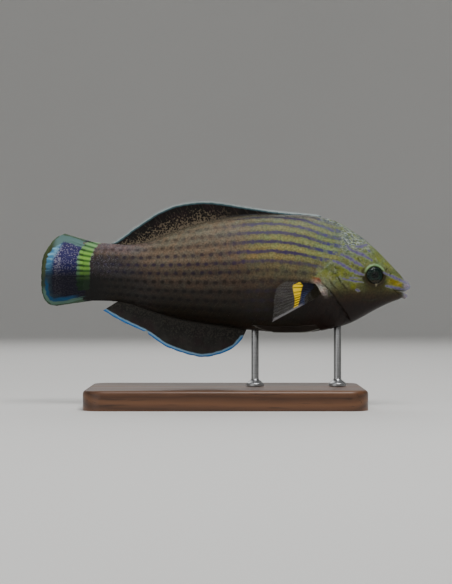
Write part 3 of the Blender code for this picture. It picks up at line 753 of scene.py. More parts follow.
def gill_colour(colour, x, z, gill):
    """The colour with the bare flesh behind the gill opening, and the opening's edges, over it."""
    share = near_line(GILL_EDGE, x, z)[2]
    flap = rise(-np.hypot((x - 36.8) / 1.8, (z - 50.6) / 2.0), -1.05, -0.6)
    colour = mixed(colour, GILL_ORANGE, flap)
    flesh = rise(share, 0.25, 0.31) * rise(share, 0.5, 0.4) * rise(-np.abs(gill + 1.4), -1.9, -0.8)
    colour = mixed(colour, GILL_PINK, flesh)
    dark = rise(share, 0.3, 0.4) * rise(share, 0.95, 0.7) * rise(-np.abs(gill + 0.1), -0.6, -0.2)
    colour = mixed(colour, GILL_DARK, dark)
    pale = rise(share, 0.26, 0.2) * rise(-np.abs(gill - 0.35), -0.6, -0.2)
    return mixed(colour, GILL_RIM, pale * 0.8)


def ground_colour(x, z, gill):
    """The skin's colour without its marks. gill is how far the place is ahead of the gill edge."""
    colour = trunk_colour(x, level_of(x, z))
    return gill_colour(head_colour(colour, x, z, gill), x, z, gill)


def gill_side(x, z):
    """How far a place is ahead of the gill opening, or behind it if negative."""
    distance, side, _ = near_line(GILL_EDGE, x, z)
    above = rise(z, 59.0, 61.0)
    return distance * side * (1 - above) + (x - 47.0) * above


def mark_strengths(x, z, row, gill):
    """How strong the spots are, how far they run into lines, and how violet they are."""
    rear = np.interp(row, [-6, -4.6, -3, 1.5, 3, 4.5, 7], [0.2, 0.6, 1.0, 1.0, 0.7, 0.5, 0.45])
    front = np.interp(row, [-6, -4, -1, 0.5, 1.5, 6, 7.5], [0.0, 0.3, 0.7, 0.6, 1.0, 1.0, 0.9])
    share = rise(x, -4, 14)
    strength = rear * (1 - share) + front * share
    covered = rise(gill, -0.6, 0.0) * (1 - rise(z, 59, 61))
    strength *= rise(x, -57, -46) * (1 - rise(x, 44.5, 51)) * (1 - covered)
    strength *= 1 - rise(x, 22, 30) * rise(row, -1.5, -3)
    strength *= 1 - 0.92 * rise(level_of(x, z), 0.95, 0.99)
    lines = 0.2 + 0.25 * rise(x, -26, -2) + 0.55 * rise(x, -2, 15) * rise(row, 0.0, 1.6)
    violet = rise(x, -6, 12) * rise(row, -0.4, 1.4)
    violet = np.maximum(violet, 0.45 * rise(x, 4, 14) * rise(row, -0.6, -2.0))
    violet = np.maximum(violet, 0.3 * rise(-np.abs(row - 1.0), -1.6, -0.4))
    return strength, np.clip(lines, 0, 1), violet


def head_strokes(x, z):
    """The drawn lines of the head, 0 to 1, where it is scribbled over, and where it is mottled."""
    drawn = np.zeros(x.shape)
    for points, half in HEAD_LINES:
        distance, _, share = near_line(points, x, z)
        taper = 0.55 + 0.45 * np.sin(math.pi * np.clip(share, 0.02, 0.98))
        drawn = np.maximum(drawn, 1 - distance / (half * taper * 2.9))
    ahead = np.maximum(rise(x, 44, 50), rise(x, 36, 41) * rise(level_of(x, z), 0.9, 0.97))
    scribble = ahead * (1 - rise(x, 57, 62)) * rise(z, 60, 66)
    mottled = rise(x, 30, 43) * rise(z, 47.5, 53.5) * (1 - rise(x, 66, 70))
    mottled *= (1 - 0.7 * rise(z, 59, 64)) * (1 - 0.9 * orbit_dusk(x, z))
    mottled *= rise(np.hypot(x - EYE_AT[0], z - EYE_AT[1]), 4.8, 6.0)
    return drawn, scribble, mottled


def lay_out():
    """Tables that turn a place in the rows of scales into an angle round the body at x."""
    xs = np.arange(-59.0, 52.1, LAY_STEP)
    angles = np.linspace(-0.6, math.pi + 0.6, 260)
    girths = np.arange(-36.0, 36.1, GIRTH_STEP)
    table = []
    for x in xs:
        ring = section(x, angles)
        run = np.concatenate([[0], np.cumsum(np.linalg.norm(np.diff(ring, axis=0), axis=1))])
        girth = np.interp(math.pi / 2, angles, run) - run
        table.append(np.interp(girths, girth[::-1], angles[::-1]))
    pitches = through(COLUMN_PITCH)(xs[:-1] + LAY_STEP / 2)
    columns = np.concatenate([[0], np.cumsum(LAY_STEP / pitches)])
    columns -= np.interp(FIRST_SPOT_X, xs, columns)
    return xs, girths, np.array(table), columns


LAID_X, LAID_GIRTH, LAID_ANGLE, LAID_COLUMN = lay_out()


def between(table, i, j):
    """The table's value at a place between its cells."""
    i = np.clip(i, 0, table.shape[0] - 1.001)
    j = np.clip(j, 0, table.shape[1] - 1.001)
    a, b = i.astype(int), j.astype(int)
    s, t = i - a, j - b
    low = table[a, b] * (1 - t) + table[a, b + 1] * t
    high = table[a + 1, b] * (1 - t) + table[a + 1, b + 1] * t
    return low * (1 - s) + high * s


def laid_angle(x, girth):
    """The angle round the body at x and a way round from the middle of the side."""
    return between(LAID_ANGLE, (x - LAID_X[0]) / LAY_STEP, (girth - LAID_GIRTH[0]) / GIRTH_STEP)


def reach_of_rows(x):
    """How far it is round the side from the middle up to the back, and down to the belly."""
    angle = np.linspace(0, math.pi / 2, 30)
    up = np.linalg.norm(np.diff(section(x, angle), axis=0), axis=1).sum()
    down = np.linalg.norm(np.diff(section(x, angle + math.pi / 2), axis=0), axis=1).sum()
    return up, down


def on_body(x, girth, height, side):
    """A point over the skin at x, a way round from the middle of the side, raised by height."""
    angle = laid_angle(x, girth)
    point = section(x, angle)
    ahead = section(x + 0.3, angle) - section(x - 0.3, angle)
    round_side = section(x, angle + 0.02) - section(x, angle - 0.02)
    normal = unit(np.cross(ahead, round_side))
    point = point + normal * (height + relief(point, normal))[:, None]
    point[:, 1] *= side
    return swept(point)


def rows_and_columns(x, angle):
    """The row and column of scales at each place, from the way round the body."""
    folded = np.where(angle > math.pi, 2 * math.pi - angle, angle)
    stations = np.clip((x - LAID_X[0]) / LAY_STEP, 0, len(LAID_X) - 1.001).astype(int)
    girth = np.zeros(x.shape)
    for station in np.unique(stations):
        here = stations == station
        girth[here] = np.interp(-folded[here], -LAID_ANGLE[station], LAID_GIRTH)
    return girth / row_pitch(x), np.interp(x, LAID_X, LAID_COLUMN)


def relief(points, normals):
    """How far the skin is raised or sunk at each point: gill edge, folds, orbit and nostrils."""
    x, z = points[:, 0], points[:, 2]
    height = np.zeros(len(x))
    near = x > SHOULDER_X - 1
    if not near.any():
        return height
    x, z = x[near], z[near]
    facing = rise(np.abs(normals[near, 1]), 0.15, 0.5)
    distance, side, share = near_line(GILL_EDGE, x, z)
    step = np.interp(distance * side, *np.array(GILL_PROFILE).T)
    raised = step * rise(share, 0.0, 0.09) * (1 - 0.6 * rise(share, 0.75, 0.95))
    distance, _, share = near_line(CHEEK_EDGE, x, z)
    groove = np.exp(-((distance / CHEEK_GROOVE_HALF) ** 2))
    raised -= CHEEK_GROOVE * groove * np.sin(math.pi * share) ** 0.5
    for fold in CHEEK_FOLDS:
        distance, side, share = near_line(fold, x, z)
        ends = np.sin(math.pi * np.clip(share, 0.01, 0.99)) ** 0.5
        raised -= FOLD_DEPTH * np.exp(-((distance / FOLD_HALF) ** 2)) * ends
        raised += FOLD_LIP * np.exp(-(((distance * side - 0.7) / 0.6) ** 2)) * ends
    for place in NOSTRILS:
        away = np.hypot(x - place[0], z - place[1])
        raised -= NOSTRIL_DEPTH * rise(-away, -NOSTRIL_RADIUS, -NOSTRIL_RADIUS * 0.4)
        raised += NOSTRIL_RIM * np.exp(-(((away - NOSTRIL_RADIUS * 1.35) / 0.2) ** 2))
    away = np.hypot(x - EYE_AT[0], z - EYE_AT[1])
    raised += ORBIT_RISE * np.exp(-(((away - 3.95) / 0.42) ** 2))
    raised -= 0.12 * np.exp(-(((away - 5.0) / 0.4) ** 2))
    raised -= ORBIT_DEPTH * rise(-away, -EYE_OPENING - 0.25, -EYE_OPENING + 0.45)
    height[near] = raised * facing
    return height


def skin_rings():
    """Rings of points round the whole body, from the root of the tail fin into the mouth."""
    angle = np.arange(SKIN_AROUND) * 2 * math.pi / SKIN_AROUND
    stations = [*np.arange(TAIL_END_X, SHOULDER_X, TRUNK_STEP),
                *np.arange(SHOULDER_X, FACE_X, HEAD_STEP)]
    rings = [section(x, angle) for x in stations]
    rings += [face(share, angle) for share in np.linspace(0, 1, FACE_RINGS)]
    rings += mouth_loops(angle)
    return np.array(rings), angle, stations


def ring_normals(rings):
    """The way out of the skin at each point of its rings."""
    ahead = np.gradient(rings, axis=0)
    around = np.roll(rings, -1, axis=1) - np.roll(rings, 1, axis=1)
    return unit(np.cross(ahead, around))


def body_skin(material):
    """One skin for the whole fish, with the gill opening, folds, nostrils and lips in its shape."""
    rings, angle, stations = skin_rings()
    count, around = rings.shape[:2]
    normals = ring_normals(rings)
    flat = rings.reshape(-1, 3)
    raised = relief(flat, normals.reshape(-1, 3))
    scaled = 1 - rise(gill_side(flat[:, 0], flat[:, 2]), -1.5, 0.0)
    raised = raised - SKIN_SINK * scaled
    raised[(len(stations) + LAST_RAISED_RING) * around:] = 0
    points = swept(flat + normals.reshape(-1, 3) * raised[:, None])
    faces = []
    for row in range(count - 1):
        for i in range(around):
            j = (i + 1) % around
            a, b = row * around, (row + 1) * around
            faces.append((a + i, b + i, b + j, a + j))
    last = (count - 1) * around
    for i in range(around // 2):
        closing = list(dict.fromkeys([i, i + 1, around - i - 1, (around - i) % around]))
        faces.append(tuple(closing))
        faces.append(tuple(last + k for k in reversed(closing)))
    skin = mesh_object("fish_skin", points, faces, material)
    dress(skin, flat[:, 0], flat[:, 2], np.tile(angle, count))
    return skin


def dress(thing, x, z, angle):
    """Keeps at each vertex the ground colour, and where each kind of mark lies."""
    gill = gill_side(x, z)
    row, column = rows_and_columns(x, angle)
    strength, lines, violet = mark_strengths(x, z, row, gill)
    strokes, scribble, mottled = head_strokes(x, z)
    store(thing, "ground", ground_colour(x, z, gill))
    store(thing, "lie", np.stack([column, row, strength], axis=1))
    store(thing, "marks", np.stack([lines, violet, strokes], axis=1))
    store(thing, "head", np.stack([scribble, mottled, dorsal_dusk(x, z)], axis=1))
    store(thing, "green_bar", tail_green(x, z))


def row_marks(wires, here):
    """The spots in their rows, joined into lines in places, and the gaps between the rows."""
    column, row, strength = wires.parts(wires.stored("lie").outputs["Vector"])
    lines = wires.parts(wires.stored("marks").outputs["Vector"])[0]
    sway = wires.sum("MULTIPLY_ADD", wires.noise(here, 260.0, 2.0), 0.34, -0.17)
    row = wires.sum("ADD", row, sway)
    nearest = wires.sum("FLOOR", wires.sum("ADD", row, 0.5))
    across = wires.sum("ABSOLUTE", wires.sum("SUBTRACT", row, nearest))
    odd = wires.sum("FLOORED_MODULO", nearest, 2.0)
    jog = wires.sum("MULTIPLY_ADD", wires.noise(here, 190.0, 1.0), 0.3, -0.15)
    column = wires.sum("MULTIPLY_ADD", odd, 0.5, wires.sum("ADD", column, jog))
    off = wires.sum("SUBTRACT", column, wires.sum("FLOOR", wires.sum("ADD", column, 0.5)))
    wide = wires.sum("MULTIPLY", wires.sum("MULTIPLY", across, across), 1.7)
    away = wires.sum("SQRT", wires.sum("MULTIPLY_ADD", off, off, wide))
    spot = wires.step(away, 0.4, 0.14)
    wide = wires.step(wires.parts(here)[0], 0.031, 0.046, 0.08)
    line = wires.sum("MULTIPLY", wires.step(across, wires.sum("ADD", wide, 0.22), wires.sum(
        "ADD", wide, 0.08)), lines)
    mark = wires.sum("MULTIPLY", wires.sum("MAXIMUM", line, spot), strength)
    gap = wires.sum("MULTIPLY", wires.step(across, 0.26, 0.44), strength)
    return mark, gap


def scrawled(wires, here, where, colour):
    """The nape's scrawl: yellow, blue and pale wiggles, one over the other."""
    for seed, scale, half, ink in ((0.0, 560.0, 0.07, SCRAWL_YELLOW), (3.0, 700.0, 0.06, SCRAWL_BLUE),
                                   (7.0, 820.0, 0.05, SCRAWL_PALE)):
        moved = wires.add("ShaderNodeMapping", {"Vector": here, "Location": (seed, 0.0, seed),
                                                "Scale": (0.7, 1.0, 1.3)}).outputs[0]
        level = wires.noise(moved, scale, 2.0, 0.6)
        line = wires.step(wires.sum("ABSOLUTE", wires.sum("SUBTRACT", level, 0.5)), half, half / 3)
        colour = wires.blend(wires.sum("MULTIPLY", line, where), colour, solid(ink))
    return colour


def mottling(wires, here, where, colour):
    """The head's mottling: yellow-green patches, with dark and pale flecks between them."""
    for scale, low, high, share, ink in ((290.0, 0.46, 0.6, 0.62, MOSS),
                                         (620.0, 0.53, 0.64, 0.6, MOSS_DARK),
                                         (830.0, 0.54, 0.66, 0.6, MOSS_PALE)):
        patch = wires.step(wires.noise(here, scale, 3.0, 0.6), low, high, share)
        colour = wires.blend(wires.sum("MULTIPLY", patch, where), colour, solid(ink))
    return colour


def stroked(wires, here, strokes, colour):
    """The head's violet strokes, uneven inside and ragged at their pale edges."""
    drawn = wires.sum("MULTIPLY_ADD", wires.noise(here, 620.0, 3.0, 0.6), 1.3, wires.sum(
        "SUBTRACT", strokes, 0.65))
    drawn = wires.sum("MULTIPLY", drawn, wires.step(strokes, 0.0, 0.2))
    uneven = wires.step(wires.noise(here, 900.0, 2.0), 0.35, 0.65)
    ink = wires.blend(uneven, solid(STROKE_BLUE), solid(STROKE_PALE))
    colour = wires.blend(wires.step(drawn, 0.1, 0.42, 0.55), colour, solid(STROKE_RIM))
    return wires.blend(wires.step(drawn, 0.44, 0.74, 0.94), colour, ink)


def dusky_ridge(wires, here, where, colour):
    """Dark flecks beside the dorsal fin's root, on a dusky band in front."""
    ahead = wires.step(wires.parts(here)[0], 0.008, 0.018, 0.62)
    flecks = wires.step(wires.cells(here, 1500.0), 0.55, 0.25, 0.9)
    flecks = wires.sum("MAXIMUM", flecks, ahead)
    ink = wires.blend(ahead, solid(DUSK_BROWN), solid(DUSK_GREEN))
    return wires.blend(wires.sum("MULTIPLY", flecks, where), colour, ink)


def broken(wires, here, mark, ahead):
    """The spots and lines once they are made ragged, and more so towards the head."""
    ragged = wires.step(wires.noise(here, 560.0, 3.0, 0.6), 0.62, 0.36)
    share = wires.sum("MULTIPLY_ADD", ahead, 0.6, 0.18)
    whole = wires.sum("SUBTRACT", 1.0, wires.sum("MULTIPLY", ragged, share))
    return wires.sum("MULTIPLY", mark, whole)


def grained(wires, gap, grain, here):
    """The ground colour: paler between the rows, with grain, darker patches and uneven warmth."""
    colour = wires.stored("ground").outputs["Color"]
    colour = wires.blend(wires.sum("MULTIPLY", gap, 0.5), colour, wires.dyed(colour, GAP_DYE))
    light = wires.add("ShaderNodeCombineXYZ", [wires.sum("MULTIPLY_ADD", grain, 2.8, -0.4)] * 3)
    colour = wires.dyed(colour, light.outputs[0], 0.8)
    patch = wires.step(wires.noise(here, 150.0, 3.0, 0.6), 0.3, 0.7)
    colour = wires.blend(wires.sum("MULTIPLY", patch, 0.3), colour, wires.dyed(colour, PATCH_DYE))
    warmth = wires.step(wires.noise(here, 340.0, 3.0, 0.6), 0.35, 0.65)
    return wires.dyed(colour, wires.blend(warmth, COOL_DYE, WARM_DYE))


def inked(wires, here, violet, ahead, colour):
    """What the spots and lines make of a colour: darker, brown or slate, or a violet to blue."""
    slate = wires.step(wires.noise(here, 90.0, 1.0), 0.4, 0.6)
    ink = wires.blend(slate, solid(BROWN_INK), solid(SLATE_INK))
    line = wires.blend(ahead, solid(LINE_VIOLET), solid(LINE_BLUE))
    return wires.blend(wires.sum("MULTIPLY", violet, 0.85), wires.dyed(colour, ink), line)


def stem_flecks(wires, here, colour):
    """The rear of the body: pale specks on its upper half, and dark blots."""
    x, _, z = wires.parts(here)
    specks = wires.step(wires.cells(here, 1400.0), 0.4, 0.15, 0.6)
    specks = wires.sum("MULTIPLY", specks, wires.step(x, -0.036, -0.05))
    specks = wires.sum("MULTIPLY", specks, wires.step(z, 0.0505, 0.0585))
    colour = wires.blend(specks, colour, solid(STEM_SPECK))
    blots = wires.step(wires.noise(here, 640.0, 3.0, 0.65), 0.5, 0.64, 0.6)
    blots = wires.sum("MULTIPLY", blots, wires.step(x, -0.034, -0.046))
    return wires.blend(blots, colour, wires.dyed(colour, BLOT_DYE))


def skin_finish():
    """Wet fish skin: ground colours with rows of spots and lines, fine grain and a soft gloss."""
    material, wires, shader = new_finish(
        "olive_spotted_skin", Coat_Weight=0.05, Coat_Roughness=0.25, Specular_IOR_Level=0.18)
    here = wires.here()
    mark, gap = row_marks(wires, here)
    _, violet, strokes = wires.parts(wires.stored("marks").outputs["Vector"])
    scribble, mottled, dusk = wires.parts(wires.stored("head").outputs["Vector"])
    ahead = wires.step(wires.parts(here)[0], 0.028, 0.046)
    grain = wires.noise(here, 1300.0, 3.0, 0.7)
    colour = mottling(wires, here, mottled, grained(wires, gap, grain, here))
    marked = inked(wires, here, violet, ahead, colour)
    colour = wires.blend(broken(wires, here, mark, ahead), colour, marked)
    colour = scrawled(wires, here, scribble, colour)
    colour = dusky_ridge(wires, here, dusk, colour)
    colour = stem_flecks(wires, here, colour)
    colour = stroked(wires, here, strokes, colour)
    colour = skin_green_bar(wires, here, colour)
    wires.plug(colour, shader.inputs["Base Color"])
    rough = wires.sum("MULTIPLY_ADD", wires.noise(here, 900.0, 2.0), 0.2, 0.36)
    wires.plug(rough, shader.inputs["Roughness"])
    bump(wires, shader, grain, 0.35, 0.05)
    return material


def skin_green_bar(wires, here, colour):
    """The part of the green bar on the skin, striped in step with the tail fin's rays."""
    x, _, z = wires.parts(here)
    fan = wires.sum("MULTIPLY_ADD", x, FAN_SPREAD, FAN_WIDTH)
    rung = wires.sum("MULTIPLY_ADD", wires.sum("SUBTRACT", z, FAN_MIDDLE), fan, FAN_SHIFT)
    comb = wires.sum("COSINE", wires.sum("MULTIPLY", rung, 2 * math.pi / FAN_PITCH))
    return green_bar(wires, here, comb, colour)


def green_bar(wires, here, comb, colour):
    """The green bar over a colour. comb is 1 on each ray and -1 halfway between two."""
    x, _, z = wires.parts(here)
    bright = wires.stored("green_bar").outputs["Fac"]
    rough = wires.sum("MULTIPLY_ADD", wires.noise(here, 700.0, 3.0), 0.5, -0.25)
    reach = wires.sum("MULTIPLY_ADD", comb, -0.12, wires.sum("ADD", bright, rough))
    green = green_blocks(wires, comb, bright, x, z)
    return wires.blend(wires.step(reach, 0.25, 0.6), colour, green)


def green_blocks(wires, comb, bright, x, z):
    """The green bar's colour: a block between each two rays, with painted light in its middle and
    painted shade towards the rays, paler behind, painted highlights at the front edge, and painted
    shade below.
    """
    behind = wires.step(x, -0.0588, -0.0604)
    above = wires.step(z, 0.0615, 0.0655)
    pale = wires.sum("MAXIMUM", behind, wires.sum("MULTIPLY", above, 0.6))
    lit = wires.blend(pale, solid(GREEN_LIT), solid(GREEN_LIT_PALE))
    shade = wires.blend(pale, solid(GREEN_SHADE), solid(GREEN_SHADE_PALE))
    # Painted light in each block's middle, painted shade towards the rays.
    green = wires.blend(wires.step(comb, -0.7, 0.6), lit, shade)
    # Painted highlights at the blocks' front ends.
    tick_highlight = wires.sum("MULTIPLY", wires.step(bright, 0.85, 0.5), wires.step(x, -0.0575, -0.0565))
    tick_highlight = wires.sum("MULTIPLY", tick_highlight, wires.step(comb, 0.7, -0.1, 0.8))
    green = wires.blend(tick_highlight, green, solid(GREEN_TICK_HIGHLIGHT))
    green = wires.blend(wires.step(comb, 0.88, 0.99, 0.75), green, solid(GREEN_SEAM))
    # Painted shade over the bar's lower part.
    return wires.blend(wires.step(z, 0.0605, 0.0505), green, solid(GREEN_LOW_SHADE))


def one_scale():
    """One scale in its row's own units: straight in front, round behind, and thin."""
    turn = np.linspace(-math.pi / 2, math.pi / 2, 9)
    steps = (0.0, 0.5, 0.84, 1.0)
    top = []
    for step in steps:
        for angle in turn:
            across = math.sin(angle)
            rear = -0.05 + (SCALE_REAR + 0.05) * math.cos(angle)
            back_by = -SCALE_FRONT + (rear + SCALE_FRONT) * step
            slope = SCALE_SLOPE * SCALE_LENGTH_MM * (back_by + SCALE_FRONT)
            lift = -SCALE_SINK + slope - SCALE_CURL * across**2
            top.append((-back_by, SCALE_HALF * across, lift))
    under = [(x, y, z - SCALE_EDGE_MM) for x, y, z in top]
    wide, rows = len(turn), len(steps)
    faces = []
    for i in range(rows - 1):
        for j in range(wide - 1):
            a, b = i * wide + j, (i + 1) * wide + j
            faces.append((a, a + 1, b + 1, b))
    low = len(top)
    rim = list(range(wide))
    rim += [i * wide + wide - 1 for i in range(1, rows)]
    rim += [(rows - 1) * wide + j for j in range(wide - 2, -1, -1)]
    rim += [i * wide for i in range(rows - 2, 0, -1)]
    for a, b in zip(rim, rim[1:] + rim[:1]):
        faces.append((b, a, low + a, low + b))
    faces.append(tuple(low + k for k in rim))
    kept = [*range(low), *[low + k for k in sorted(rim)]]
    place = {old: new for new, old in enumerate(kept)}
    points = [(top + under)[k] for k in kept]
    faces = [tuple(place[k] for k in f) for f in faces]
    mesh = bpy.data.meshes.new("one_scale")
    mesh.from_pydata(points, [], faces)
    return put("one_scale", mesh)


def scale_places():
    """The middle of each scale, as column and row, wherever a scale grows on the trunk."""
    places = []
    for row in SCALE_ROWS:
        for column in SCALE_COLUMNS:
            u = column - 0.5 * (row % 2)
            x = float(np.interp(u, LAID_COLUMN, LAID_X))
            up, down = reach_of_rows(x)
            girth = row * float(row_pitch(x))
            if not -down - SCALE_ROW_MARGIN < girth < up + SCALE_ROW_MARGIN or x < LAST_SCALE_X:
                continue
            station = int((x - LAID_X[0]) / LAY_STEP)
            angle = float(np.interp(girth, LAID_GIRTH, LAID_ANGLE[station]))
            z = float(section(x, angle)[2])
            if float(gill_side(np.array([x]), np.array([z]))[0]) > 0.4:
                continue
            places.append((u, row, 0.0))
    return places


def new_tree(name, inputs):
    """A geometry tree with named inputs: its wires, its input node and the inputs' keys."""
    tree = bpy.data.node_groups.new(name, "GeometryNodeTree")
    tree.interface.new_socket(name="Geometry", in_out="INPUT", socket_type="NodeSocketGeometry")
    tree.interface.new_socket(name="Geometry", in_out="OUTPUT", socket_type="NodeSocketGeometry")
    keys = {}
    for label, kind in inputs.items():
        socket = tree.interface.new_socket(name=label, in_out="INPUT", socket_type=kind)
        keys[label] = socket.identifier
    wires = Wires(tree)
    return wires, wires.add("NodeGroupInput"), keys


def scales_tree():
    """Sets one scale on each point, each turned and sized a little differently."""
    inputs = {"Scale shape": "NodeSocketObject", "Size spread": "NodeSocketFloat",
              "Turn spread": "NodeSocketFloat", "Seed": "NodeSocketInt",
              "Finish": "NodeSocketMaterial"}
    wires, given, keys = new_tree("scales_in_rows", inputs)
    shape = wires.add("GeometryNodeObjectInfo", {"Object": given.outputs["Scale shape"]})
    spread = given.outputs["Size spread"]
    size = wires.add("FunctionNodeRandomValue", data_type="FLOAT")
    wires.plug(wires.sum("SUBTRACT", 1.0, spread), size.inputs[2])
    wires.plug(wires.sum("ADD", 1.0, spread), size.inputs[3])
    wires.plug(given.outputs["Seed"], size.inputs["Seed"])
    turn = wires.add("FunctionNodeRandomValue", data_type="FLOAT")
    wires.plug(wires.sum("MULTIPLY", given.outputs["Turn spread"], -1.0), turn.inputs[2])
    wires.plug(given.outputs["Turn spread"], turn.inputs[3])
    wires.plug(wires.sum("ADD", given.outputs["Seed"], 1.0), turn.inputs["Seed"])
    turned = wires.add("ShaderNodeCombineXYZ", {"Z": turn.outputs[1]})
    sized = wires.add("ShaderNodeCombineXYZ", [size.outputs[1], size.outputs[1], 1.0])
    placed = wires.add("GeometryNodeInstanceOnPoints", {
        "Points": given.outputs["Geometry"], "Instance": shape.outputs["Geometry"],
        "Rotation": turned.outputs[0], "Scale": sized.outputs[0]})
    kept = wires.add("GeometryNodeStoreNamedAttribute", {
        "Geometry": placed.outputs[0], "Name": "focus"}, data_type="FLOAT_VECTOR",
        domain="INSTANCE")
    wires.plug(wires.add("GeometryNodeInputPosition").outputs[0], kept.inputs["Value"])
    real = wires.add("GeometryNodeRealizeInstances", {"Geometry": kept.outputs[0]})
    finish(wires, given, real.outputs[0])
    return wires.tree, keys


def finish(wires, given, geometry):
    """The end of each tree: its material and its output."""
    done = wires.add("GeometryNodeSetMaterial", {
        "Geometry": geometry, "Material": given.outputs["Finish"]})
    wires.add("NodeGroupOutput", {"Geometry": done.outputs[0]})


def grown(name, seed, tree, keys, values):
    """What the tree makes from the seed object, as a plain mesh. The seed is removed."""
    step = seed.modifiers.new("grow", "NODES")
    step.node_group = tree
    for label, value in values.items():
        step[keys[label]] = value
    graph = bpy.context.evaluated_depsgraph_get()
    mesh = bpy.data.meshes.new_from_object(seed.evaluated_get(graph))
    bpy.data.objects.remove(seed)
    mesh.name = name
    return put(name, mesh)


def scales(side, name, material):
    """The scales of one side, laid out flat in their rows and then wrapped onto the body."""
    seed = bpy.data.meshes.new("scale_places")
    seed.from_pydata(scale_places(), [], [])
    field = put("scale_places", seed)
    shape = one_scale()
    tree, keys = scales_tree()
    coat = grown(name, field, tree, keys, {
        "Scale shape": shape, "Size spread": SIZE_SPREAD, "Turn spread": TURN_SPREAD,
        "Seed": SCALE_SEED, "Finish": material})
    bpy.data.objects.remove(shape)
    flat = positions(coat) * METRES_PER_MM
    focus = np.zeros(len(flat) * 3, np.float32)
    coat.data.attributes["focus"].data.foreach_get("vector", focus)
    focus = focus.reshape(-1, 3)
    x = np.interp(flat[:, 0], LAID_COLUMN, LAID_X)
    girth = flat[:, 1] * row_pitch(x)
    move_to(coat, on_body(x, girth, flat[:, 2], side))
    if side < 0:
        coat.data.flip_normals()
    coat.data.update()
    coat.data.shade_smooth()
    coat.data.set_sharp_from_angle(angle=math.radians(SCALE_CREASE))
    angle = laid_angle(x, girth)
    place = section(x, angle)
    dress(coat, place[:, 0], place[:, 2], np.clip(angle, 0, math.pi))
    bake_map(coat, flat, focus, side)
    return coat


def bake_map(coat, flat, focus, side):
    """A map of the coat: each scale is a patch at its own place on the unrolled side."""
    cell_wide, cell_high, patch = 0.028, 0.024, 0.5
    middle_u, middle_v = 0.28, 0.25 if side > 0 else 0.75
    u = middle_u + focus[:, 0] * cell_wide + (flat[:, 0] - focus[:, 0]) * cell_wide * patch
    v = middle_v + focus[:, 1] * cell_high + (flat[:, 1] - focus[:, 1]) * cell_high * patch
    layer = coat.data.uv_layers.new(name="OFBake")
    corner = np.zeros(len(coat.data.loops), np.int32)
    coat.data.loops.foreach_get("vertex_index", corner)
    spots = np.stack([u, v], axis=1)[corner].astype(np.float32)
    layer.data.foreach_set("uv", spots.ravel())


def median_sheet(root, lean, edge, rim):
    """The sheet of a fin on the middle line. rim is the body's outline that it grows from."""
    edge_at = through(edge)

    def sheet(place, share):
        root_x = root[0] + (root[1] - root[0]) * place
        tip_x = root_x - (lean[0] + (lean[1] - lean[0]) * place)
        root_z = rim(root_x)
        x = root_x + (tip_x - root_x) * share
        z = root_z + (edge_at(tip_x) - root_z) * share
        y = MEDIAN_WAVE * np.sin(2 * math.pi * (1.2 * place + 0.1)) * share**2
        return np.stack([x, y, z], axis=-1)

    return sheet


def nicked(sheet):
    """The anal fin's sheet with the small nick that its edge has towards the rear."""
    def cut(place, share):
        root, edge = sheet(place, 0 * share), sheet(place, 0 * share + 1)
        near = np.exp(-(((edge[..., 0] - ANAL_NICK_X) / ANAL_NICK_HALF) ** 2))
        length = np.linalg.norm(edge - root, axis=-1)
        return sheet(place, share * (1 - near * ANAL_NICK_DEPTH / length * rise(share, 0.7, 1.0)))

    return cut


def caudal_sheet():
    """The sheet of the tail fin, slightly waved."""
    edge_at = along(CAUDAL_EDGE)

    def sheet(place, share):
        root_z = CAUDAL_ROOT[0] + (CAUDAL_ROOT[1] - CAUDAL_ROOT[0]) * place
        tip_x, tip_z = edge_at(place)
        y = CAUDAL_WAVE * np.sin(2 * math.pi * place) * np.clip(share, 0, 1) ** 2
        x = TAIL_ROOT_X + (tip_x - TAIL_ROOT_X) * share
        return np.stack([x, y, root_z + (tip_z - root_z) * share], axis=-1)

    return sheet


def pectoral_sheet(side):
    """The sheet of a pectoral fin, which stands off the side more towards its lower ray."""
    root_at, edge_at = along(PECTORAL_ROOT), along(PECTORAL_EDGE)

    def sheet(place, share):
        start, end = root_at(place), edge_at(place)
        x, z = start + (end - start) * share
        tip = PECTORAL_STAND_OFF[0] + (PECTORAL_STAND_OFF[1] - PECTORAL_STAND_OFF[0]) * place
        free = 1.25 * rise(share, -0.06, 0.16) - 0.35 * rise(share, 0.04, -0.08)
        stand_off = free + tip * np.clip(share, 0, 1) ** 1.2
        return np.stack([x, side * (flank(x, z) + stand_off), z], axis=-1)

    return sheet


def pelvic_sheet(side):
    """The sheet of a pelvic fin, folded back against the belly."""
    root_at, edge_at = along(PELVIC_ROOT), along(PELVIC_EDGE)

    def sheet(place, share):
        (root_x, root_turn), (tip_x, tip_turn) = root_at(place), edge_at(place)
        x = root_x + (tip_x - root_x) * share
        angle = np.radians(root_turn + (tip_turn - root_turn) * share)
        point = section(x, angle)
        free = 0.6 * rise(share, -0.06, 0.3) - 0.35 * rise(share, 0.06, -0.06)
        stand_off = free + (PELVIC_STAND_OFF - 0.6) * np.clip(share, 0, 1)
        stand_off = stand_off * (0.2 + 0.8 * place)
        point[..., 1] = side * (point[..., 1] + stand_off * 0.45)
        point[..., 2] -= stand_off
        return point

    return sheet


def surface_normals(grid):
    """The way straight off a sheet at each point of its grid."""
    return unit(np.cross(np.gradient(grid, axis=0), np.gradient(grid, axis=1)))


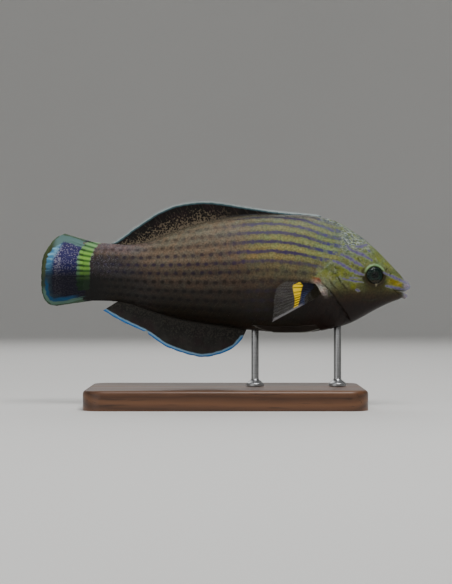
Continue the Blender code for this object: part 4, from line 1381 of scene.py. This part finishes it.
def membrane(name, sheet, rays, outline, thick, material, inner=-0.06, rows=26, scallop=0.012,
             tapered=False):
    """A fin's web: thin between the rays, fleshy at the root, and scalloped along its edge."""
    per_ray = 6
    columns = (rays - 1) * per_ray + 1
    place, share = np.meshgrid(np.linspace(0, 1, columns), np.linspace(inner, 1, rows + 1),
                               indexing="ij")
    hollow = np.sin(math.pi * place * (rays - 1)) ** 2
    share = share * (1 - scallop * hollow * rise(share, 0.6, 1.0))
    grid = sheet(place, share)
    normals = surface_normals(grid)
    root, web, edge = thick
    flesh = np.clip(1 - np.clip(share, 0, 1) * 5, 0, 1) ** 1.6 * rise(share, inner * 1.2, 0)
    if tapered:
        flesh = flesh * np.sqrt(1 - np.clip(2 * place - 1, -1, 1) ** 2)
    thickness = (web + (edge - web) * np.clip(share, 0, 1)) * (1 - flesh) + root * flesh
    half = normals * thickness[:, :, None] / 2
    sides = np.concatenate([(grid + half).reshape(-1, 3), (grid - half).reshape(-1, 3)])
    wide = rows + 1
    far = columns * wide
    faces = []
    for i in range(columns - 1):
        for j in range(rows):
            a, b = i * wide + j, (i + 1) * wide + j
            faces.append((a, b, b + 1, a + 1))
            faces.append((far + a, far + a + 1, far + b + 1, far + b))
    rim = [i * wide for i in range(columns)]
    rim += [(columns - 1) * wide + j for j in range(1, wide)]
    rim += [i * wide + rows for i in range(columns - 2, -1, -1)]
    rim += range(rows - 1, 0, -1)
    for a, b in zip(rim, rim[1:] + rim[:1]):
        faces.append((b, a, far + a, far + b))
    thing = mesh_object(name, swept(sides), faces, material)
    facts = np.stack([place * (rays - 1), share, edge_distance(grid, outline)], axis=-1)
    facts = facts.reshape(-1, 3)
    store(thing, "fin", np.concatenate([facts, facts]))
    store(thing, "ray_body", np.zeros(len(facts) * 2))
    store(thing, "green_bar", np.tile(tail_green(grid[..., 0].ravel(), grid[..., 2].ravel()), 2))
    return thing


def edge_distance(grid, outline):
    """How far each point is from the fin's free edge, in millimetres, seen from the side."""
    x, z = grid[..., 0].ravel(), grid[..., 2].ravel()
    return near_line(outline, x, z)[0].reshape(grid.shape[:2])


def ray_lines(sheet, rays, spines, outline, ends_mm, inner=-0.05):
    """The rays of a fin as lines with a thickness. Soft rays fork twice towards the edge."""
    lines = []
    root_mm, tip_mm = ends_mm
    pitch = 1 / (rays - 1)
    for ray in range(rays):
        centre = ray * pitch
        soft = ray >= spines
        forks = [(inner, 0.44, (0,)), (0.44, 0.76, (-1, 1)), (0.76, 1.0, (-3, -1, 1, 3))]
        if not soft:
            forks = [(inner, 1.0, (0,))]
        for first, last, branches in forks:
            for branch in branches:
                share = np.linspace(first, last, max(6, int(26 * (last - first))))
                spread = fork_spread(share, branch) if soft else 0 * share
                place = np.clip(centre + pitch * spread, 0, 1)
                points = sheet(place, share)
                thick = root_mm + (tip_mm - root_mm) * np.clip(share, 0, 1)
                thick *= (1.0, 0.78, 0.6)[min(len(branches) // 2, 2)]
                facts = np.stack([place / pitch, share, np.zeros(len(share))], axis=-1)
                facts[:, 2] = edge_distance(points[None], outline)[0]
                lines.append((points, thick, facts))
    return lines


def fork_spread(share, branch):
    """How far a branch stands off its ray, in pitches, along the ray."""
    outer = 0.17 * rise(share, 0.40, 0.8) * np.sign(branch)
    inner = 0.09 * rise(share, 0.72, 1.0) * (1 if branch in (3, -1) else -1)
    return outer + (inner if abs(branch) in (1, 3) else 0)


def tubes_tree():
    """Turns lines that carry a thickness into closed, tapered tubes."""
    inputs = {"Sides": "NodeSocketInt", "Finish": "NodeSocketMaterial"}
    wires, given, keys = new_tree("tapered_tubes", inputs)
    curve = wires.add("GeometryNodeMeshToCurve", {"Mesh": given.outputs["Geometry"]})
    thick = wires.add("GeometryNodeInputNamedAttribute", {"Name": "thick"}, data_type="FLOAT")
    ring = wires.add("GeometryNodeCurvePrimitiveCircle", {"Radius": 1.0})
    wires.plug(given.outputs["Sides"], ring.inputs["Resolution"])
    tube = wires.add("GeometryNodeCurveToMesh", {
        "Curve": curve.outputs[0], "Profile Curve": ring.outputs["Curve"],
        "Scale": thick.outputs["Attribute"], "Fill Caps": True})
    real = wires.add("GeometryNodeRealizeInstances", {"Geometry": tube.outputs[0]})
    finish(wires, given, real.outputs[0])
    return wires.tree, keys


def tubes(name, lines, sides, material):
    """Tapered tubes along lines of (points, thickness, facts)."""
    points = swept(np.concatenate([line[0] for line in lines]))
    edges, start = [], 0
    for line in lines:
        edges += [(start + i, start + i + 1) for i in range(len(line[0]) - 1)]
        start += len(line[0])
    mesh = bpy.data.meshes.new(name)
    mesh.from_pydata((points * METRES_PER_MM).tolist(), edges, [])
    seed = put(name, mesh)
    store(seed, "thick", np.concatenate([line[1] for line in lines]) * METRES_PER_MM)
    facts = np.concatenate([line[2] for line in lines])
    store(seed, "fin", facts)
    store(seed, "ray_body", np.ones(len(facts)))
    store(seed, "green_bar", tail_green(points[:, 0], points[:, 2]))
    tree, keys = tubes_tree()
    thing = grown(name, seed, tree, keys, {"Sides": sides, "Finish": material})
    thing.data.shade_smooth()
    return thing


def joined(name, things):
    """Several objects made one."""
    first = things[0]
    with bpy.context.temp_override(active_object=first, selected_editable_objects=things):
        bpy.ops.object.join()
    first.name = name
    first.data.name = name
    return first


def dorsal_fin(material):
    """The long fin of the back, low in front."""
    rays = DORSAL_SPINES + DORSAL_RAYS
    sheet = median_sheet(DORSAL_ROOT, DORSAL_LEAN, DORSAL_EDGE, back)
    web = membrane("dorsal_web", sheet, rays, DORSAL_EDGE, MEDIAN_WEB, material)
    bones = tubes("dorsal_rays", ray_lines(
        sheet, rays, DORSAL_SPINES, DORSAL_EDGE, MEDIAN_RAY), 8, material)
    return joined("dorsal_fin_fine", [web, bones])


def anal_fin(material):
    """The fin below the tail stem, with its nick."""
    rays = ANAL_SPINES + ANAL_RAYS
    sheet = nicked(median_sheet(ANAL_ROOT, ANAL_LEAN, ANAL_EDGE, belly))
    web = membrane("anal_web", sheet, rays, ANAL_EDGE, MEDIAN_WEB, material)
    bones = tubes("anal_rays", ray_lines(
        sheet, rays, ANAL_SPINES, ANAL_EDGE, MEDIAN_RAY), 8, material)
    return joined("anal_fin_fine", [web, bones])


def caudal_fin(material):
    """The tail fin, with all its rays soft."""
    sheet = caudal_sheet()
    top, bottom = ((CAUDAL_OUTLINE_X, z) for z in CAUDAL_ROOT)
    outline = [top, *CAUDAL_EDGE, bottom]
    web = membrane("tail_web", sheet, CAUDAL_RAYS, outline, CAUDAL_WEB, material,
                   inner=-0.12, rows=34, scallop=0.006, tapered=True)
    bones = tubes("tail_rays", ray_lines(
        sheet, CAUDAL_RAYS, 0, outline, CAUDAL_RAY, inner=-0.08), 8, material)
    return joined("tail_fin_fine", [web, bones])


def pectoral_fin(side, name, material):
    """A pectoral fin, spread, with a spine above its soft rays."""
    sheet = pectoral_sheet(side)
    outline = [PECTORAL_ROOT[0], *PECTORAL_EDGE, PECTORAL_ROOT[1]]
    web = membrane(f"pectoral_web_{name}", sheet, PECTORAL_RAYS, outline, PECTORAL_WEB,
                   material, inner=-0.08, scallop=0.02)
    bones = tubes(f"pectoral_rays_{name}", ray_lines(
        sheet, PECTORAL_RAYS, 1, outline, PECTORAL_RAY, inner=-0.06), 7, material)
    return joined(f"pectoral_fin_{name}_fine", [web, bones])


def pelvic_fin(side, name, material):
    """A pelvic fin, closed, with a spine above its soft rays."""
    sheet = pelvic_sheet(side)
    tips = sheet(np.linspace(0, 1, 5), np.ones(5))
    leading = sheet(np.ones(3), np.array([0.85, 0.6, 0.35]))
    outline = [tuple(point) for point in np.concatenate([tips, leading])[:, [0, 2]]]
    web = membrane(f"pelvic_web_{name}", sheet, PELVIC_RAYS, outline, PELVIC_WEB,
                   material, rows=20, scallop=0.02, tapered=True)
    bones = tubes(f"pelvic_rays_{name}", ray_lines(
        sheet, PELVIC_RAYS, 1, outline, PELVIC_RAY), 7, material)
    return joined(f"pelvic_fin_{name}_fine", [web, bones])


def dark_fin_finish(name, colours, rim_mm, netted, outer):
    """A dark fin with a pale net over its lower part and two bright lines along its edge.

    netted is the strength of the net in front, and outer lights or dims the outer half.
    """
    ground, root, fleck, line, rim = colours
    material, wires, shader = new_finish(name, **FIN_GLOSS)
    here = wires.here()
    ray, share, edge = wires.parts(wires.stored("fin").outputs["Vector"])
    reach = wires.sum("MULTIPLY_ADD", share, 0.6, 0.3)
    net = wires.step(wires.sum("SUBTRACT", wires.cells(here, 1500.0), reach), 0.0, 0.22)
    rearward = wires.step(wires.parts(here)[0], 0.008, -0.012, 1.0 - netted)
    net = wires.sum("MULTIPLY", net, wires.sum("ADD", rearward, netted))
    net = wires.sum("MULTIPLY", net, wires.step(share, 0.95, 0.5))
    warm = wires.noise(here, 220.0, 4.0, 0.6)
    colour = wires.blend(wires.step(warm, 0.3, 0.7, 0.8), solid(ground * 0.6), solid(ground * 1.5))
    lit = wires.dyed(colour, (outer, outer, outer, 1.0))
    colour = wires.blend(wires.step(share, 0.3, 0.85), colour, lit)
    colour = wires.blend(net, colour, solid(fleck))
    colour = wires.blend(wires.step(share, 0.08, 0.0), colour, solid(root))
    stain = wires.sum("MULTIPLY", wires.step(wires.noise(here, 140.0, 2.0), 0.45, 0.7, 0.5), share)
    colour = wires.blend(stain, colour, solid(FIN_STAIN))
    bones = wires.sum("MULTIPLY", wires.stored("ray_body").outputs["Fac"], 0.12)
    colour = wires.blend(bones, colour, solid(fleck))
    jitter = wires.sum("MULTIPLY_ADD", wires.noise(here, 500.0, 2.0), 0.5, -0.25)
    edge = wires.sum("ADD", edge, jitter)
    colour = wires.blend(wires.step(edge, rim_mm * 1.5, rim_mm), colour, solid(line))
    colour = wires.blend(wires.step(edge, rim_mm * 0.85, rim_mm * 0.55), colour, solid(rim))
    wires.plug(colour, shader.inputs["Base Color"])
    wires.plug(wires.sum("MULTIPLY_ADD", warm, 0.2, 0.4), shader.inputs["Roughness"])
    fin_bump(wires, shader, ray, here)
    return material


def fin_bump(wires, shader, ray, here):
    """Fine pleats between the rays, and a slight grain."""
    pleat = wires.sum("SINE", wires.sum("MULTIPLY", ray, 8 * math.pi))
    height = wires.sum("MULTIPLY_ADD", pleat, 0.3, wires.noise(here, 1500.0, 2.0))
    bump(wires, shader, height, 0.3, 0.05)


def tail_field(wires, here):
    """The tail fin's middle: violet, netted with pale specks."""
    x, _, z = wires.parts(here)
    lift = wires.sum("MULTIPLY_ADD", wires.noise(here, 250.0, 2.0), 0.006, -0.003)
    height = wires.sum("ADD", z, lift)
    field = wires.blend(wires.step(height, 0.056, 0.064), solid(FIELD_LOW), solid(FIELD_HIGH))
    pale = wires.step(wires.sum("ABSOLUTE", wires.sum("ADD", x, 0.0687)), 0.0022, 0.0008, 0.2)
    specks = wires.step(wires.sum("SUBTRACT", wires.cells(here, 1700.0), pale), 0.44, 0.2, 0.85)
    uneven = wires.noise(here, 400.0, 2.0)
    shade = wires.blend(uneven, solid(FIELD_SPECK), solid(FIELD_SPECK_PALE))
    return wires.blend(specks, field, shade)


def ray_comb(wires, ray):
    """1 on each ray and -1 halfway between two."""
    return wires.sum("COSINE", wires.sum("MULTIPLY", ray, 2 * math.pi))


def tail_margin(wires, edge, share, x, z, colour):
    """The tail fin's border: a blue line inside it below, then olive, with pale teal above."""
    rearward = wires.step(x, -0.068, -0.0715)
    below = wires.step(z, 0.053, 0.0495)
    line = wires.sum("MULTIPLY", wires.step(edge, 3.3, 2.5), wires.step(share, 0.25, 0.5))
    colour = wires.blend(wires.sum("MULTIPLY", line, below), colour, solid(MARGIN_LINE))
    above, low = wires.step(z, 0.060, 0.0655), wires.step(z, 0.0495, 0.0465)
    wide = wires.sum("MULTIPLY_ADD", wires.sum("MULTIPLY", above, wires.sum(
        "SUBTRACT", 1.0, rearward)), 1.5, 1.8)
    rim = wires.blend(above, solid(MARGIN_MIDDLE), solid(MARGIN_TOP))
    rim = wires.blend(rearward, rim, wires.blend(
        wires.step(z, 0.050, 0.058), solid(MARGIN_REAR_LOW), solid(MARGIN_REAR)))
    rim = wires.blend(low, rim, solid(MARGIN_LOW))
    rim = wires.blend(wires.step(edge, 0.75, 0.35, 0.7), rim, wires.blend(
        above, solid(MARGIN_RIM), solid(MARGIN_RIM_TOP)))
    margin = wires.sum("MULTIPLY", wires.step(wires.sum("DIVIDE", edge, wide), 1.05, 0.8),
                       wires.step(share, 0.1, 0.3))
    return wires.blend(margin, colour, rim)


def tail_fin_finish():
    """The tail fin: a green bar, a violet field with pale dots, a blue band and a green margin, with
    painted shade over its lower part.
    """
    material, wires, shader = new_finish("banded_tail", **FIN_GLOSS)
    here = wires.here()
    x, _, z = wires.parts(here)
    ray, share, edge = wires.parts(wires.stored("fin").outputs["Vector"])
    colour = tail_field(wires, here)
    streaks = wires.noise(wires.stretched(here, (160.0, 300.0, 1100.0)), 1.0, 3.0)
    edge = wires.sum("ADD", edge, wires.sum("MULTIPLY_ADD", streaks, 1.8, -0.9))
    band = wires.blend(wires.step(streaks, 0.38, 0.64), solid(BAND_BLUE), solid(BAND_CYAN))
    near = wires.sum("MULTIPLY", wires.step(edge, 5.3, 3.0), wires.step(x, -0.0655, -0.069))
    colour = wires.blend(near, colour, band)
    # Painted shade: the lower part of the fin darkened almost to black.
    colour = wires.blend(wires.step(z, 0.0625, 0.0520, 0.95), colour, solid(TAIL_LOW_SHADE))
    colour = tail_margin(wires, edge, share, x, z, colour)
    # The fin's root takes the stem's colours, darker below: partly its own colour, partly painted
    # shade.
    stem = wires.blend(wires.step(z, 0.051, 0.058), solid(SHADED_STEM_BLACK), solid(STEM_GREY))
    colour = wires.blend(wires.step(x, -0.0575, -0.0555), colour, stem)
    colour = green_bar(wires, here, ray_comb(wires, ray), colour)
    wires.plug(colour, shader.inputs["Base Color"])
    shader.inputs["Roughness"].default_value = 0.45
    fin_bump(wires, shader, ray, here)
    return material


def pectoral_marks(wires, place, share):
    """Where the pectoral fin's yellow bar is, and the dark band between it and the root."""
    above = wires.sum("SUBTRACT", 1.0, place)
    middle = wires.sum("MULTIPLY_ADD", wires.sum("MULTIPLY", place, above), -0.24, 0.51)
    half = wires.sum("MULTIPLY_ADD", wires.sum("MULTIPLY", above, above), 0.145, 0.055)
    half = wires.sum("MULTIPLY", half, wires.sum("POWER", wires.step(place, -0.03, 0.2), 0.5))
    off = wires.sum("ABSOLUTE", wires.sum("SUBTRACT", share, middle))
    bar = wires.step(wires.sum("DIVIDE", off, half), 1.05, 0.75)
    dark = wires.step(share, wires.sum("SUBTRACT", middle, 0.02), wires.sum(
        "SUBTRACT", middle, 0.12))
    start = wires.step(place, 0.25, 0.8, 0.26)
    dark = wires.sum("MULTIPLY", dark, wires.step(share, start, wires.sum("ADD", start, 0.07)))
    return bar, dark


def barred_fin_finish():
    """The pectoral fin: clear, with a dark root, a navy band, a yellow bar and a pale leading ray."""
    material, wires, shader = new_finish(
        "barred_pectoral", Coat_Weight=0.05, Coat_Roughness=0.2, Specular_IOR_Level=0.18)
    here = wires.here()
    ray, share, _ = wires.parts(wires.stored("fin").outputs["Vector"])
    bone = wires.stored("ray_body").outputs["Fac"]
    place = wires.sum("DIVIDE", ray, PECTORAL_RAYS - 1.0)
    comb = ray_comb(wires, ray)
    low = wires.step(place, 0.35, 0.7)
    bar, dark = pectoral_marks(wires, place, share)
    lines = wires.sum("MULTIPLY", wires.step(comb, 0.3, 0.95), low)
    ink = wires.blend(wires.sum("MULTIPLY", lines, 0.45), solid(PECTORAL_NAVY), solid(PECTORAL_BLUE))
    beat = wires.sum("COSINE", wires.sum("MULTIPLY", ray, math.pi))
    gaps = wires.blend(low, wires.step(beat, -1.0, -0.8), wires.step(comb, -0.4, 0.3))
    yellow = wires.blend(gaps, solid(PECTORAL_OCHRE), solid(PECTORAL_YELLOW))
    root = wires.step(share, 0.34, 0.2)
    lead = wires.sum("MULTIPLY", wires.step(place, 0.9, 0.96), wires.step(share, 0.3, 0.42))
    colour = wires.blend(bone, solid(WEB_GREY), solid(RAY_GREY))
    colour = wires.blend(root, colour, solid(PECTORAL_ROOT_BROWN))
    colour = wires.blend(dark, colour, ink)
    colour = wires.blend(bar, colour, yellow)
    colour = wires.blend(lead, colour, solid(PECTORAL_LEAD))
    cloud = wires.step(wires.noise(here, 300.0, 2.0), 0.1, 0.7, 0.28)
    cover = wires.sum("MULTIPLY_ADD", bone, 0.14, cloud)
    for part in (dark, bar, lead, wires.sum("MULTIPLY", root, 0.8)):
        cover = wires.sum("MAXIMUM", cover, wires.sum("MULTIPLY", part, 0.96))
    wires.plug(colour, shader.inputs["Base Color"])
    wires.plug(cover, shader.inputs["Alpha"])
    shader.inputs["Roughness"].default_value = 0.4
    fin_bump(wires, shader, ray, here)
    return material


def folded_fin_finish():
    """The pelvic fins: dusky webs with a whitish leading ray and tip."""
    material, wires, shader = new_finish("dusky_pelvic", **FIN_GLOSS)
    here = wires.here()
    ray, share, _ = wires.parts(wires.stored("fin").outputs["Vector"])
    bone = wires.sum("MULTIPLY", wires.stored("ray_body").outputs["Fac"], 0.4)
    cloud = wires.step(wires.noise(here, 260.0, 3.0), 0.3, 0.7)
    colour = wires.blend(cloud, solid(PELVIC_DARK), solid(PELVIC_DUSK))
    colour = wires.blend(bone, colour, solid(PELVIC_BONE))
    lead = wires.step(ray, PELVIC_RAYS - 1.35, PELVIC_RAYS - 1.1, 0.9)
    lead = wires.sum("MAXIMUM", lead, wires.step(share, 0.92, 0.99, 0.5))
    colour = wires.blend(lead, colour, solid(PELVIC_LEAD))
    wires.plug(colour, shader.inputs["Base Color"])
    shader.inputs["Roughness"].default_value = 0.4
    fin_bump(wires, shader, ray, here)
    return material


def eye_place(side):
    """Where the eye sits: the skin at its middle, turned so that Z looks outward."""
    x, z = (np.array(value) for value in EYE_AT)
    y = float(flank(x, z))
    slope_x = float(flank(x + 0.5, z) - flank(x - 0.5, z))
    slope_z = float(flank(x, z + 0.5) - flank(x, z - 0.5))
    outward = Vector((-slope_x, side, -slope_z)).normalized()
    upward = Vector((0, 0, 1))
    ahead = upward.cross(outward).normalized()
    turn = Matrix((ahead, outward.cross(ahead), outward)).transposed().to_4x4()
    return Matrix.Translation((EYE_AT[0], side * y, EYE_AT[1])) @ turn


def turned(name, profile, segments, matrix, material, closed_below=True):
    """A round piece turned from (radius, height) points, from its middle outwards."""
    points, faces = [(0.0, 0.0, profile[0][1])], []
    rings = profile[1:]
    for radius, height in rings:
        for i in range(segments):
            angle = 2 * math.pi * i / segments
            points.append((radius * math.cos(angle), radius * math.sin(angle), height))
    for i in range(segments):
        faces.append((0, 1 + i, 1 + (i + 1) % segments))
    for row in range(len(rings) - 1):
        for i in range(segments):
            j = (i + 1) % segments
            a, b = 1 + row * segments, 1 + (row + 1) * segments
            faces.append((a + i, b + i, b + j, a + j))
    if closed_below:
        last = 1 + (len(rings) - 1) * segments
        faces.append(tuple(last + i for i in reversed(range(segments))))
    flat = np.array(points)
    placed = np.array([matrix @ Vector(p) for p in flat])
    thing = mesh_object(name, placed, faces, material)
    store(thing, "disc", flat)
    return thing


def eyeball(side, name, material):
    """The eye: a dark lens in its pupil, a sloping iris and the globe behind them."""
    return turned(f"eyeball_{name}", EYE_PROFILE, 72, eye_place(side), material)


def cornea(side, name, material):
    """The clear dome over the iris."""
    profile = []
    for angle in np.linspace(0, 1.32, 16):
        radius = EYE_RADIUS * math.sin(angle)
        profile.append((radius, EYE_DEPTH * math.cos(angle) + EYE_BULGE - EYE_DEPTH))
    return turned(f"cornea_{name}", profile, 72, eye_place(side), material, closed_below=False)


def eye_finish():
    """A dark lens in a teal iris that turns brown below, with fine spokes and a bright rim."""
    material, wires, shader = new_finish("teal_eye", Roughness=0.3, Specular_IOR_Level=0.2)
    x, y, _ = wires.parts(wires.stored("disc").outputs["Vector"])
    away = wires.sum("SQRT", wires.sum("ADD", wires.sum("MULTIPLY", x, x), wires.sum(
        "MULTIPLY", y, y)))
    turn = wires.sum("ARCTAN2", y, x)
    spokes = wires.add("ShaderNodeCombineXYZ", [wires.sum("MULTIPLY", turn, 9.0), wires.sum(
        "MULTIPLY", away, 0.9), 0.0]).outputs[0]
    fibres = wires.noise(spokes, 1.6, 4.0, 0.7)
    iris = wires.blend(wires.step(fibres, 0.3, 0.7), solid(IRIS_DARK), solid(IRIS_TEAL))
    iris = wires.blend(wires.step(y, -1.5, -2.7), iris, solid(IRIS_BROWN))
    iris = wires.blend(wires.step(away, 2.85, 3.2), iris, solid(IRIS_RIM))
    ring = wires.step(wires.sum("ABSOLUTE", wires.sum("SUBTRACT", away, 1.58)), 0.12, 0.03)
    iris = wires.blend(wires.sum("MULTIPLY", ring, 0.6), iris, solid(PUPIL_RING))
    colour = wires.blend(wires.step(away, 1.5, 1.38), iris, solid(PUPIL))
    wires.plug(colour, shader.inputs["Base Color"])
    bump(wires, shader, fibres, 0.4, 0.08)
    return material


def cornea_finish():
    """Clear as glass, with hardly any haze."""
    material, wires, shader = new_finish(
        "clear_cornea", Roughness=0.03, IOR=1.22, Transmission_Weight=1.0)
    cloud = wires.noise(wires.here(), 500.0, 2.0)
    haze = wires.blend(cloud, solid(CORNEA_HAZE), solid(CORNEA_CLEAR))
    wires.plug(haze, shader.inputs["Base Color"])
    return material


def tooth_lines():
    """The front teeth: two above and two below, each a short curved cone."""
    lines = []
    top, bottom = UPPER_LIP_TIP, LOWER_LIP_TIP
    for side in (1, -1):
        for root, tip in (((top[0] - 1.7, top[1] - 0.9), (top[0] - 1.1, top[1] - 2.3)),
                          ((bottom[0] - 1.1, bottom[1] + 0.7), (bottom[0] - 0.5, bottom[1] + 2.0))):
            share = np.linspace(0, 1, 9)
            x = root[0] + (tip[0] - root[0]) * share + 0.12 * np.sin(math.pi * share)
            z = root[1] + (tip[1] - root[1]) * share
            points = np.stack([x, side * (0.5 - 0.05 * share), z], axis=-1)
            facts = np.stack([0 * share, share, 0 * share], axis=-1)
            lines.append((points, 0.3 * (1 - share) ** 0.7 + 0.04, facts))
    return lines


def tooth_finish():
    """Ivory, paler towards the tip."""
    material, wires, shader = new_finish("ivory_teeth", Roughness=0.25, Coat_Weight=0.4)
    share = wires.parts(wires.stored("fin").outputs["Vector"])[1]
    colour = wires.blend(wires.step(share, 0.0, 0.7), solid(TOOTH_ROOT), solid(TOOTH_TIP))
    wires.plug(colour, shader.inputs["Base Color"])
    return material


def wood_finish():
    """Dark oiled walnut with long grain and fine pores."""
    material, wires, shader = new_finish("oiled_walnut", Coat_Weight=0.25, Coat_Roughness=0.25)
    here = wires.here()
    _, y, z = wires.parts(here)
    across = wires.sum("ADD", y, 0.018)
    down = wires.sum("ADD", z, 0.045)
    heart = wires.sum("SQRT", wires.sum("ADD", wires.sum("MULTIPLY", across, across), wires.sum(
        "MULTIPLY", down, down)))
    sway = wires.noise(wires.stretched(here, (9.0, 60.0, 60.0)), 1.0, 4.0, 0.55)
    bands = wires.sum("PINGPONG", wires.sum("MULTIPLY_ADD", sway, 3.2, wires.sum(
        "MULTIPLY", heart, 420.0)), 1.0)
    fine = wires.noise(wires.stretched(here, (60.0, 1300.0, 1300.0)), 1.0, 2.0)
    pores = wires.step(fine, 0.6, 0.72)
    colour = wires.blend(bands, solid(WALNUT), solid(WALNUT_LIGHT))
    colour = wires.blend(wires.sum("MULTIPLY", pores, 0.6), colour, solid(WALNUT_PORE))
    wires.plug(colour, shader.inputs["Base Color"])
    wires.plug(wires.sum("MULTIPLY_ADD", bands, 0.12, 0.36), shader.inputs["Roughness"])
    bump(wires, shader, wires.sum("MULTIPLY_ADD", pores, -0.8, bands), 0.18, 0.12)
    return material


def steel_finish():
    """Brushed steel, with fine rings round the rod."""
    material, wires, shader = new_finish("brushed_steel", Metallic=1.0)
    rings = wires.noise(wires.stretched(wires.here(), (40.0, 40.0, 2600.0)), 1.0, 3.0)
    colour = wires.blend(rings, solid(STEEL), solid(STEEL_LIGHT))
    wires.plug(colour, shader.inputs["Base Color"])
    wires.plug(wires.sum("MULTIPLY_ADD", rings, 0.18, 0.22), shader.inputs["Roughness"])
    bump(wires, shader, rings, 0.12, 0.03)
    return material


def stand_base(material):
    """The base: a board with round corners and an eased top edge, flat below."""
    low, high = (np.array(corner) / METRES_PER_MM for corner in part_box("stand_base"))
    shape = bmesh.new()
    bmesh.ops.create_cube(shape, size=1.0)
    bmesh.ops.scale(shape, verts=shape.verts[:], vec=high - low)
    bmesh.ops.translate(shape, verts=shape.verts[:], vec=(high + low) / 2)
    upright = [e for e in shape.edges if abs(e.verts[0].co.z - e.verts[1].co.z) > 1]
    bmesh.ops.bevel(shape, geom=upright, offset=BASE_CORNER, segments=14, affect="EDGES",
                    profile=0.5)
    top = [e for e in shape.edges if all(v.co.z > high[2] - 0.1 for v in e.verts)]
    bmesh.ops.bevel(shape, geom=top, offset=BASE_EDGE, segments=5, affect="EDGES", profile=0.5)
    bmesh.ops.scale(shape, verts=shape.verts[:], vec=(METRES_PER_MM,) * 3)
    mesh = bpy.data.meshes.new("stand_base_fine")
    shape.to_mesh(mesh)
    shape.free()
    mesh.materials.append(material)
    mesh.shade_smooth()
    mesh.set_sharp_from_angle(angle=math.radians(BASE_CREASE))
    return put("stand_base_fine", mesh)


def stand_rod(name, x, material):
    """A turned rod with a stepped foot. Its top follows the belly that it carries."""
    low = float(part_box(name)[0][2]) / METRES_PER_MM
    top = float(belly(x)) + 0.1
    foot, rod = ROD_FOOT_RADIUS, ROD_RADIUS
    profile = [(0, top), (rod - 0.2, top), (rod, top - 0.3), (rod, low + 3.0), (rod + 0.25, low + 2.4),
               (rod + 0.9, low + 2.0), (foot - 0.35, low + 1.25), (foot - 0.1, low + 1.1),
               (foot, low + 0.85), (foot, low)]
    thing = turned(f"{name}_fine", profile, 48, Matrix.Translation((x, 0, 0)), material)
    places = positions(thing)
    near_top = places[:, 2] > top - 0.5
    places[near_top, 2] += belly(places[near_top, 0]) - belly(x)
    move_to(thing, places)
    thing.data.set_sharp_from_angle(angle=math.radians(ROD_CREASE))
    return thing


def studio():
    """A pale floor that curves up all round, far off, with soft lights inside it."""
    material, wires, shader = new_finish("pale_paper", Roughness=0.9)
    shade = wires.blend(wires.noise(wires.here(), 3.0, 2.0), solid(PAPER), solid(PAPER_LIGHT))
    wires.plug(shade, shader.inputs["Base Color"])
    profile = [(0.0, 0.0), (600.0, 0.0), (FLOOR_RADIUS, 0.0)]
    for angle in np.linspace(0.15, math.pi / 2, 14):
        out, up = math.sin(angle), 1 - math.cos(angle)
        profile.append((FLOOR_RADIUS + WALL_CURVE * out, WALL_CURVE * up))
    profile.append((FLOOR_RADIUS + WALL_CURVE, WALL_TOP))
    floor = turned("studio_floor", profile, 96, Matrix(), material, closed_below=False)
    floor.data.flip_normals()
    for name, (place, aim, size, watts) in LIGHTS.items():
        lamp = bpy.data.lights.new(name, "AREA")
        lamp.size = size * METRES_PER_MM
        lamp.energy = watts
        thing = put(name, lamp)
        thing.location = Vector(place) * METRES_PER_MM
        thing.rotation_euler = (Vector(aim) - Vector(place)).to_track_quat("-Z", "Y").to_euler()
        thing.visible_camera = False
    world = bpy.data.worlds.new("soft_room")
    world.use_nodes = True
    room_light = world.node_tree.nodes["Background"]
    room_light.inputs["Color"].default_value = ROOM_COLOUR
    room_light.inputs["Strength"].default_value = ROOM_STRENGTH
    bpy.context.scene.world = world


def camera():
    """The camera, level, looking along +Y."""
    lens = bpy.data.cameras.new("camera")
    lens.lens = CAMERA_LENS
    lens.sensor_width = CAMERA_SENSOR
    thing = put("camera", lens)
    thing.location = Vector(CAMERA_AT) * METRES_PER_MM
    thing.rotation_euler = (math.pi / 2, 0, 0)
    bpy.context.scene.camera = thing


def keep(piece, slot, *nodes):
    """Hands the piece over: it rides on the fish and stands for nodes, which are hidden. slot is not
    used.
    """
    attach(piece, "root")
    if nodes:
        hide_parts(*nodes)


def main():
    """Makes each piece and hands it over."""
    camera()
    studio()
    skin_look = skin_finish()
    keep(body_skin(skin_look), "body_skin", "torso", "tail_stem", "head", "lower_jaw",
         "gill_cover_left", "gill_cover_right")
    for side, name in ((1, "left"), (-1, "right")):
        keep(scales(side, f"scales_{name}", skin_look), "body_skin")
    dorsal_look = dark_fin_finish("dark_dorsal", DORSAL_COLOURS, rim_mm=0.95, netted=0.0, outer=0.55)
    keep(dorsal_fin(dorsal_look), "dark_fins", "dorsal_fin")
    anal_look = dark_fin_finish("dark_anal", ANAL_COLOURS, rim_mm=1.0, netted=1.0, outer=1.9)
    keep(anal_fin(anal_look), "dark_fins", "anal_fin")
    keep(caudal_fin(tail_fin_finish()), "tail_fin", "caudal_fin")
    pectoral_look, pelvic_look = barred_fin_finish(), folded_fin_finish()
    iris, dome = eye_finish(), cornea_finish()
    for side, name in ((1, "left"), (-1, "right")):
        keep(pectoral_fin(side, name, pectoral_look), "clear_fins", f"pectoral_fin_{name}")
        keep(pelvic_fin(side, name, pelvic_look), "clear_fins", f"pelvic_fin_{name}")
        keep(eyeball(side, name, iris), "eyes", f"eye_{name}")
        keep(cornea(side, name, dome), "eyes")
    keep(tubes("front_teeth", tooth_lines(), 10, tooth_finish()), "head_skin")
    keep(stand_base(wood_finish()), "stand_wood", "stand_base")
    steel = steel_finish()
    for name, x in ROD_AT.items():
        keep(stand_rod(name, x, steel), "stand_steel", name)


main()
